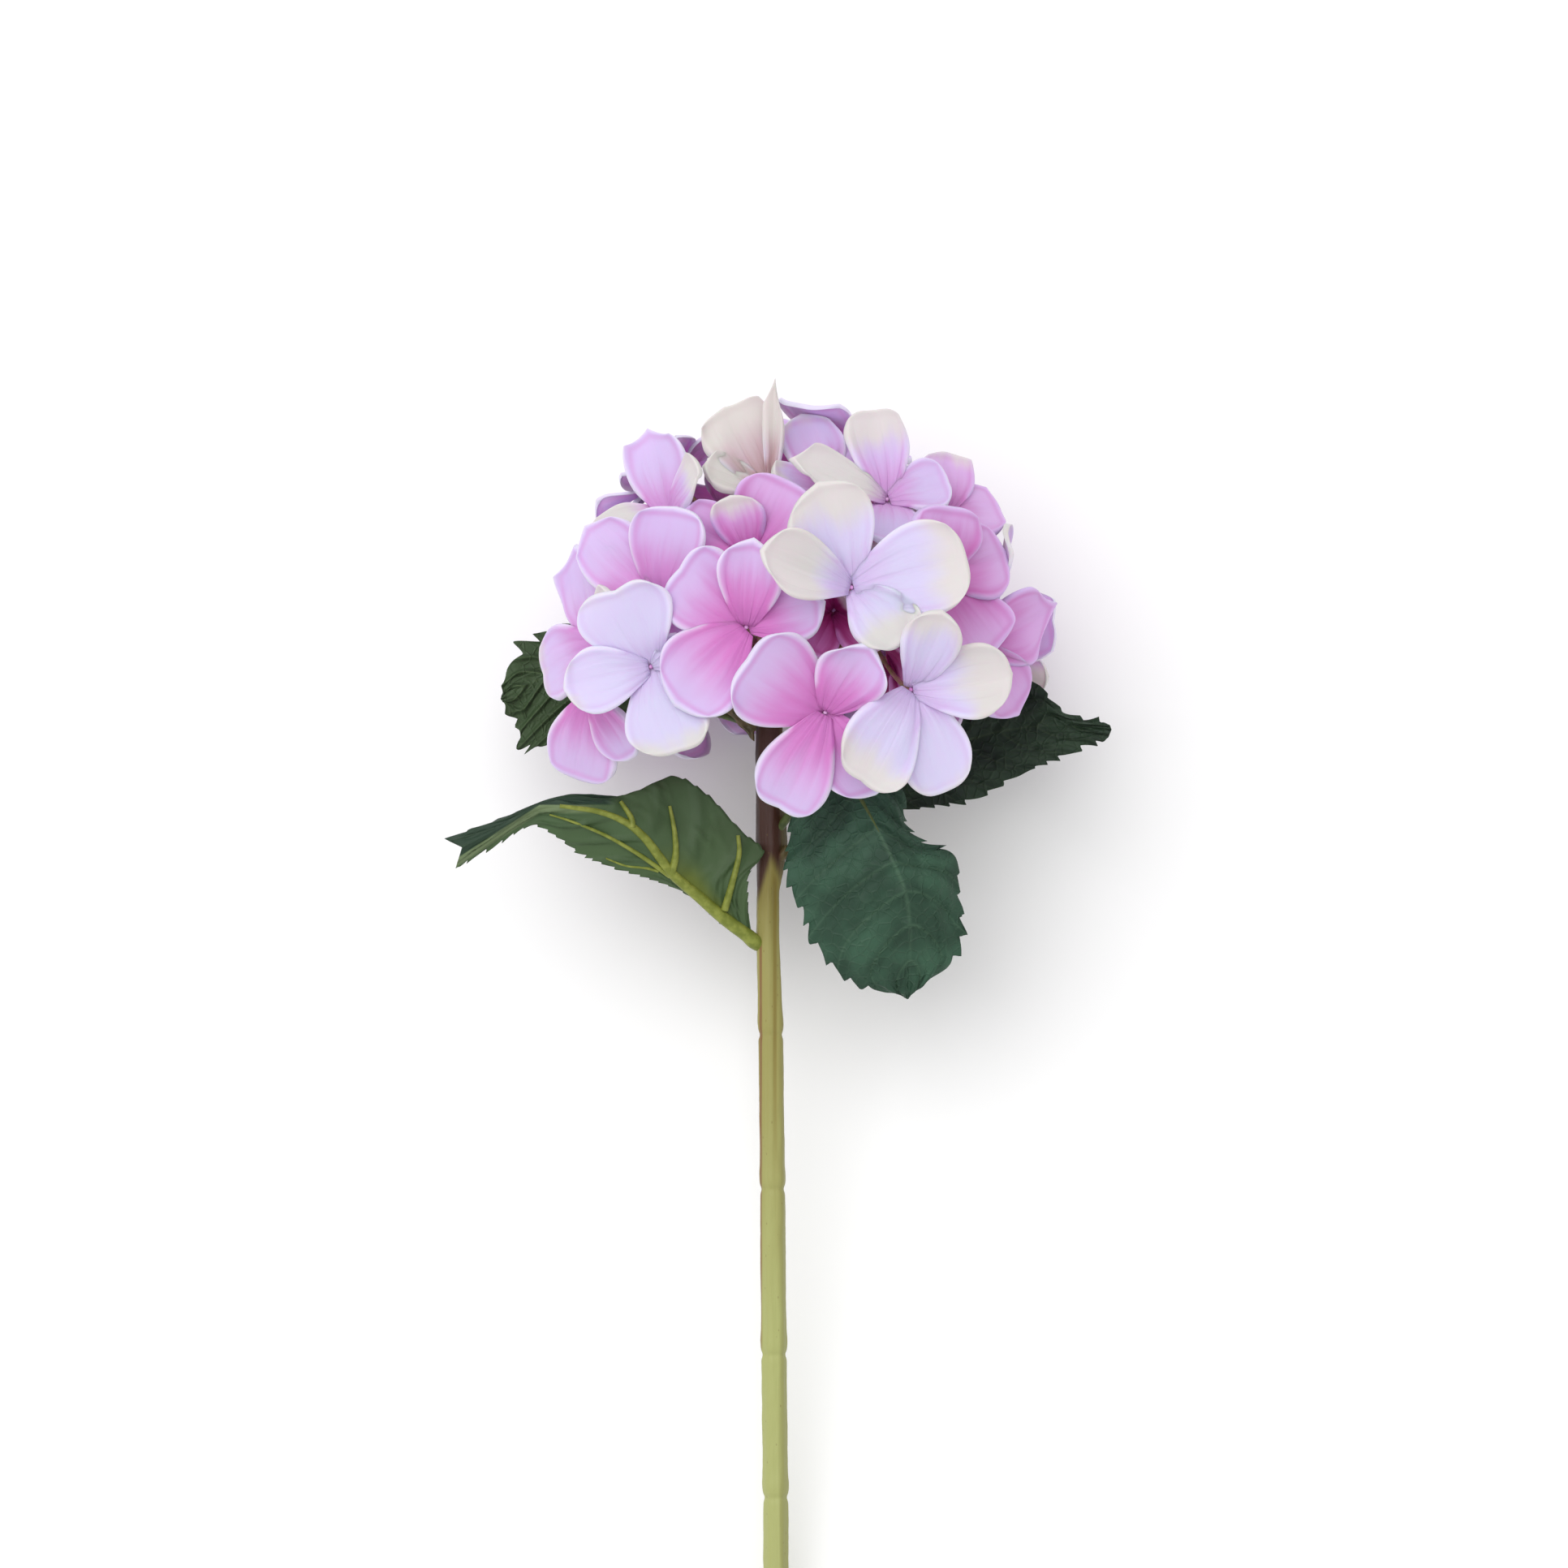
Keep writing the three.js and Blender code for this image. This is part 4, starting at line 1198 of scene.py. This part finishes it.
def petal_finish(name, throat, body, rim_and_highlight_colour, depth):
    """Petal skin: a throat that fades outwards, soft streaks, a pale rim partly painted as
    highlight, painted shade in the groove inside it, and a cream part.
    """
    material, tree, shader = new_finish(name, 0.6, Specular_IOR_Level=0.25,
                                        Subsurface_Weight=0.35, Subsurface_Scale=0.003,
                                        Subsurface_Radius=(1.0, 0.5, 0.75))
    along, across, rim = (attribute(tree, label) for label in ("along", "across", "rim"))
    seed, cream, pink = (attribute(tree, label) for label in ("seed", "cream", "pink"))
    fan = node_in(tree, "ShaderNodeCombineXYZ", X=across * 4, Y=along * 0.9, Z=seed * 60)
    streaks = node_in(tree, "ShaderNodeTexNoise", Vector=out_of(fan), Scale=1.0, Detail=3.0)
    streak = out_of(streaks, "Fac") - 0.5
    cloud_place = node_in(tree, "ShaderNodeCombineXYZ", X=across * 1.1, Y=along * 1.5,
                          Z=seed * 90 + 7)
    clouds = node_in(tree, "ShaderNodeTexNoise", Vector=out_of(cloud_place), Scale=1.0, Detail=1.0)
    cloud = out_of(clouds, "Fac") - 0.5
    reach = pink * depth + 0.1
    deep = 1 - ramp(along + streak * 0.5 + cloud * 0.3, reach * 0.3, reach + 0.3)
    deep = deep * (pink * 0.8 + 0.2)
    shade = mixed(ramp(pink + streak * 0.5 + cloud * 0.7, 0.1, 1.1) * (1.1 - along), body, PINK)
    shade = mixed(deep, shade, throat)
    line = calculate("FRACT", across * 2.2 + streak * 0.9 + seed)
    vein = 1 - ramp(size_of(line - 0.5), 0.0, 0.22)
    faint = vein * (1 - along) ** 1.5 * ramp(along, 0.05, 0.25) * (pink * 0.3 + 0.1)
    shade = mixed(faint, shade, throat)
    # Painted shade: the groove just inside the raised rim is darkened towards the throat colour.
    groove = ramp(rim, 0.12, 0.3) * (1 - ramp(rim, 0.3, 0.5))
    shade = mixed(groove * (pink * 0.25 + 0.12), shade, throat)
    # The pale rim is partly the petal's own paler edge and partly a painted highlight where the
    # raised rim catches the light.
    shade = mixed(ramp(rim, 0.3, 0.9) * 0.75, shade, rim_and_highlight_colour)
    limit = 1 - cream * 1.05
    creamy = ramp(along + streak * 0.2 + cloud * 0.5, limit - 0.1, limit + 0.25)
    creamy = creamy * ramp(cream, 0.0, 0.1)
    shade = mixed(creamy * 0.92, shade, CREAM)
    tree.links.new(shade.socket, shader.inputs["Base Color"])
    relief(tree, shader, vein * (1 - along) * -0.3 + streak * (1 - along), 0.0005)
    return material


def leaf_finish(name, base, dark, vein_colour, under, vein_share):
    """Leaf skin: paler veins with painted shade in the hollows along them, and a fine net of small
    ones.
    """
    material, tree, shader = new_finish(name, 0.55, Specular_IOR_Level=0.3)
    along, across = attribute(tree, "along"), attribute(tree, "across")
    skin = attribute(tree, "skin")
    plant = attribute(tree, "plant", "Vector")
    phase = vein_phase(along, across, 7, 0.24)
    near = size_of(calculate("FRACT", phase + 0.5) - 0.5)
    vein = 1 - ramp(near + size_of(across) * 0.03, 0.0, 0.09)
    rib = (1 - ramp(size_of(across), 0.0, 0.04)) * (1 - along)
    net = node_in(tree, "ShaderNodeTexVoronoi", {"feature": "DISTANCE_TO_EDGE"}, Vector=plant,
                  Scale=0.3)
    mesh_line = 1 - ramp(out_of(net, "Distance"), 0.0, 0.12)
    mottle = node_in(tree, "ShaderNodeTexNoise", Vector=plant, Scale=0.06, Detail=2.0)
    shade = mixed(ramp(out_of(mottle, "Fac"), 0.35, 0.65), dark, base)
    hollow = ramp(near, 0.0, 0.3)
    # Painted shade: the blade is darkened along its sunken veins, where the relief at the end
    # presses them in.
    shade = mixed((1 - hollow) * 0.35, shade, dark)
    shade = mixed(mesh_line * 0.05, shade, vein_colour)
    shade = mixed(larger(vein * 0.18, rib * 0.5) * vein_share, shade, vein_colour)
    back = mixed(larger(vein * 0.5, rib), under, vein_colour)
    shade = mixed(calculate("LESS_THAN", skin, 0.0), shade, back)
    tree.links.new(shade.socket, shader.inputs["Base Color"])
    relief(tree, shader, hollow * 0.8 + mesh_line * -0.15, 0.0012)
    return material


def turned_leaf_finish():
    """The left leaf, seen from below, with its tip curled over to show the darker upper side."""
    material, tree, shader = new_finish("leaf_turned", 0.55, Specular_IOR_Level=0.3)
    plant = attribute(tree, "plant", "Vector")
    split = node_in(tree, "ShaderNodeSeparateXYZ", Vector=plant)
    x, y = out_of(split, "X"), out_of(split, "Y")
    along, across = attribute(tree, "along"), attribute(tree, "across")
    mottle = node_in(tree, "ShaderNodeTexNoise", Vector=plant, Scale=0.07, Detail=2.0)
    shade = mixed(ramp(out_of(mottle, "Fac"), 0.35, 0.65), colour(62, 84, 54), colour(76, 102, 70))
    shade = mixed(ramp(y, -46, -20) * 0.35, colour(70, 92, 58), shade)
    near_rib = 1 - ramp(size_of(across), 0.05, 0.4)
    olive = near_rib * (1 - ramp(along, 0.25, 0.4))
    shade = mixed(olive * 0.9, shade, colour(98, 108, 30))
    bend = smaller(x + 70, 0.0) * 0.65 - 21.6
    curled = ramp(y - bend, -0.3, 0.4) * (1 - ramp(x, -50, -46))
    strip = ramp(y - bend, -3.0, -1.8) * (1 - curled) * (1 - ramp(x, -60, -50))
    shade = mixed(strip * 0.6, shade, colour(128, 144, 104))
    shade = mixed(curled, shade, colour(38, 60, 44))
    phase = vein_phase(along, across, 7, 0.24)
    near = size_of(calculate("FRACT", phase + 0.5) - 0.5)
    hollow = ramp(near, 0.0, 0.25)
    # Painted shade: the blade is darkened along its sunken veins.
    shade = mixed((1 - hollow) * 0.2, shade, colour(50, 70, 42))
    tree.links.new(shade.socket, shader.inputs["Base Color"])
    relief(tree, shader, hollow * 0.5, 0.0008)
    return material


def stem_finish():
    """Brown under the head, olive at the first leaf and pale green below it, with painted shade at
    its sides under the head and down its right side.
    """
    material, tree, shader = new_finish("stem_skin", 0.5, Specular_IOR_Level=0.35)
    plant = attribute(tree, "plant", "Vector")
    split = node_in(tree, "ShaderNodeSeparateXYZ", Vector=plant)
    x, y = out_of(split, "X"), out_of(split, "Y")
    long = node_in(tree, "ShaderNodeTexNoise", Vector=plant * (1.0, 0.06, 1.0), Scale=0.6,
                   Detail=4.0)
    fibre = out_of(long, "Fac") - 0.5
    shade = mixed(ramp(y + fibre * 60, -200, -80), colour(168, 172, 108), colour(152, 146, 84))
    shade = mixed(ramp(y + fibre * 10, -70, -44) * 0.7, shade, colour(132, 118, 56))
    notch = y + size_of(x - 0.6) * 2.2 - x * 0.6 + fibre * 6
    shade = mixed(ramp(notch, -42, -35), shade, colour(72, 44, 34))
    # Painted shade: both sides of the stem just under the head are darkened to near black.
    shade = mixed(ramp(size_of(x - 0.3), 2.8, 4.4) * ramp(y, -46, -36) * 0.6, shade,
                  colour(38, 28, 24))
    seam = (1 - ramp(size_of(x - 1.7), 0.2, 0.9)) * ramp(y, -150, -90) * (1 - ramp(y, -46, -42))
    shade = mixed(seam * 0.6, shade, colour(124, 102, 34))
    # Painted shade: the stem's right side, away from the light, is darkened.
    shade = mixed(ramp(x + fibre * 2, 2.6, 4.0) * 0.4, shade, colour(120, 112, 60))
    line = (1 - ramp(size_of(x + 2.7 + fibre), 0.1, 0.7)) * ramp(y, -200, -180)
    line = line * (1 - ramp(y, -66, -62))
    shade = mixed(line * 0.75, shade, colour(122, 70, 46))
    specks = node_in(tree, "ShaderNodeTexVoronoi", Vector=plant * (1.0, 0.5, 1.0), Scale=0.45)
    speck = 1 - ramp(out_of(specks, "Distance"), 0.05, 0.12)
    shade = mixed(speck * 0.45, shade, colour(116, 92, 50))
    tree.links.new(shade.socket, shader.inputs["Base Color"])
    relief(tree, shader, fibre, 0.0004)
    return material


def plain_finish(name, base, other, roughness=0.5):
    material, tree, shader = new_finish(name, roughness, Specular_IOR_Level=0.35)
    plant = attribute(tree, "plant", "Vector")
    mottle = node_in(tree, "ShaderNodeTexNoise", Vector=plant, Scale=0.4, Detail=3.0)
    shade = mixed(ramp(out_of(mottle, "Fac"), 0.35, 0.65), base, other)
    tree.links.new(shade.socket, shader.inputs["Base Color"])
    return material


def all_finishes():
    return {
        "petal_pale": petal_finish("petal_pale", colour(196, 140, 204), PALE, WHITE, 0.3),
        "petal_pink": petal_finish("petal_pink", THROAT, LILAC, WHITE, 0.5),
        "petal_rose": petal_finish("petal_rose", colour(196, 104, 176), ROSE, LILAC, 0.6),
        "petal_lilac": petal_finish("petal_lilac", colour(200, 112, 184), LILAC, WHITE, 0.5),
        "petal_crest": petal_finish("petal_crest", colour(164, 116, 110), CREST, WHITE, 0.6),
        # Painted shade: the inner florets' deep magenta stands for the shade in the recesses
        # between the front florets, over their own pink.
        "petal_deep": petal_finish("petal_deep", colour(160, 50, 118), DEEP_PINK_IN_SHADE, PINK, 0.7),
        "leaf": leaf_finish("leaf_top", colour(52, 86, 66), colour(34, 62, 46),
                            colour(96, 128, 100), colour(82, 102, 66), 1.0),
        # Painted shade: the two back leaves, behind the head, get this darker copy of the leaf
        # skin.
        "leaf_in_shade": leaf_finish("leaf_shaded", colour(40, 60, 42), colour(28, 44, 32),
                                 colour(84, 104, 66), colour(64, 84, 54), 0.8),
        "leaf_under": turned_leaf_finish(),
        "leaf_rib": plain_finish("leaf_rib", colour(112, 122, 44), colour(136, 144, 62)),
        "leaf_stalk": plain_finish("leaf_stalk", colour(84, 98, 48), colour(70, 84, 44)),
        "stem": stem_finish(),
        "stalk": plain_finish("stalk", colour(176, 120, 120), colour(150, 130, 90)),
        "bud": plain_finish("bud", colour(196, 120, 190), colour(214, 170, 214)),
        "scale": plain_finish("scale_skin", colour(70, 60, 30), colour(96, 80, 50)),
    }


# ---- Stage ----

VIEW_DISTANCE = 2.5
VIEW_HEIGHT = 0.483
VIEW_MIDDLE = Vector((4.5, -15.25, 0))
FLOOR_COLOUR = (0.97, 0.97, 0.97, 1)
FLOOR_WIDTH = 6.0
WORLD_LIGHT = 0.78
KEY_PLACE = (-0.55, 0.55, 2.0)
KEY_TARGET = (0, 0.05, 0.05)
KEY_WIDTH = 2.0
KEY_POWER = 23


def add_floor():
    half = FLOOR_WIDTH / 2
    corners = [(-half, -half, 0), (half, -half, 0), (half, half, 0), (-half, half, 0)]
    mesh = new_mesh("floor", corners, [(0, 1, 2, 3)])
    mesh.materials.append(new_finish("floor_paint", 0.9, Base_Color=FLOOR_COLOUR,
                                     Specular_IOR_Level=0.1)[0])
    floor = bpy.data.objects.new("floor", mesh)
    bpy.context.scene.collection.objects.link(floor)


def add_light(name, place, target, size, power):
    lamp = bpy.data.lights.new(name, "AREA")
    lamp.shape = "DISK"
    lamp.size = size
    lamp.energy = power
    light = bpy.data.objects.new(name, lamp)
    light.location = place
    light.rotation_euler = (Vector(target) - Vector(place)).to_track_quat("-Z", "Y").to_euler()
    bpy.context.scene.collection.objects.link(light)


def add_world(strength):
    world = bpy.data.worlds.new("studio")
    world.use_nodes = True
    background = world.node_tree.nodes["Background"]
    background.inputs["Color"].default_value = (1, 1, 1, 1)
    background.inputs["Strength"].default_value = strength
    bpy.context.scene.world = world


def add_camera():
    """Looks square at the front of the flower, with the stem running down the picture."""
    turn = LAID_DOWN.to_3x3().normalized()
    middle = LAID_DOWN @ VIEW_MIDDLE
    lens = bpy.data.cameras.new("camera")
    lens.sensor_fit = "VERTICAL"
    lens.angle = 2 * math.atan(VIEW_HEIGHT / 2 / VIEW_DISTANCE)
    camera = bpy.data.objects.new("camera", lens)
    place = middle + turn @ Vector((0, 0, VIEW_DISTANCE))
    camera.matrix_world = Matrix.Translation(place) @ turn.to_4x4()
    bpy.context.scene.collection.objects.link(camera)
    bpy.context.scene.camera = camera


def main():
    finishes = all_finishes()
    trees = {"blade": blade_tree(), "tube": tube_tree(), "stem": stem_tree()}
    slots = {part["node"]: part["material_slot"] for part in frame["record"]["subparts"]}
    grow_florets(slots, finishes)
    grow_leaves(trees, finishes)
    grow_stem(trees, finishes)
    grow_scale(trees, finishes)
    add_floor()
    add_world(WORLD_LIGHT)
    add_light("key", KEY_PLACE, KEY_TARGET, KEY_WIDTH, KEY_POWER)
    add_camera()
    scene = bpy.context.scene
    scene.view_settings.view_transform = "Standard"


main()
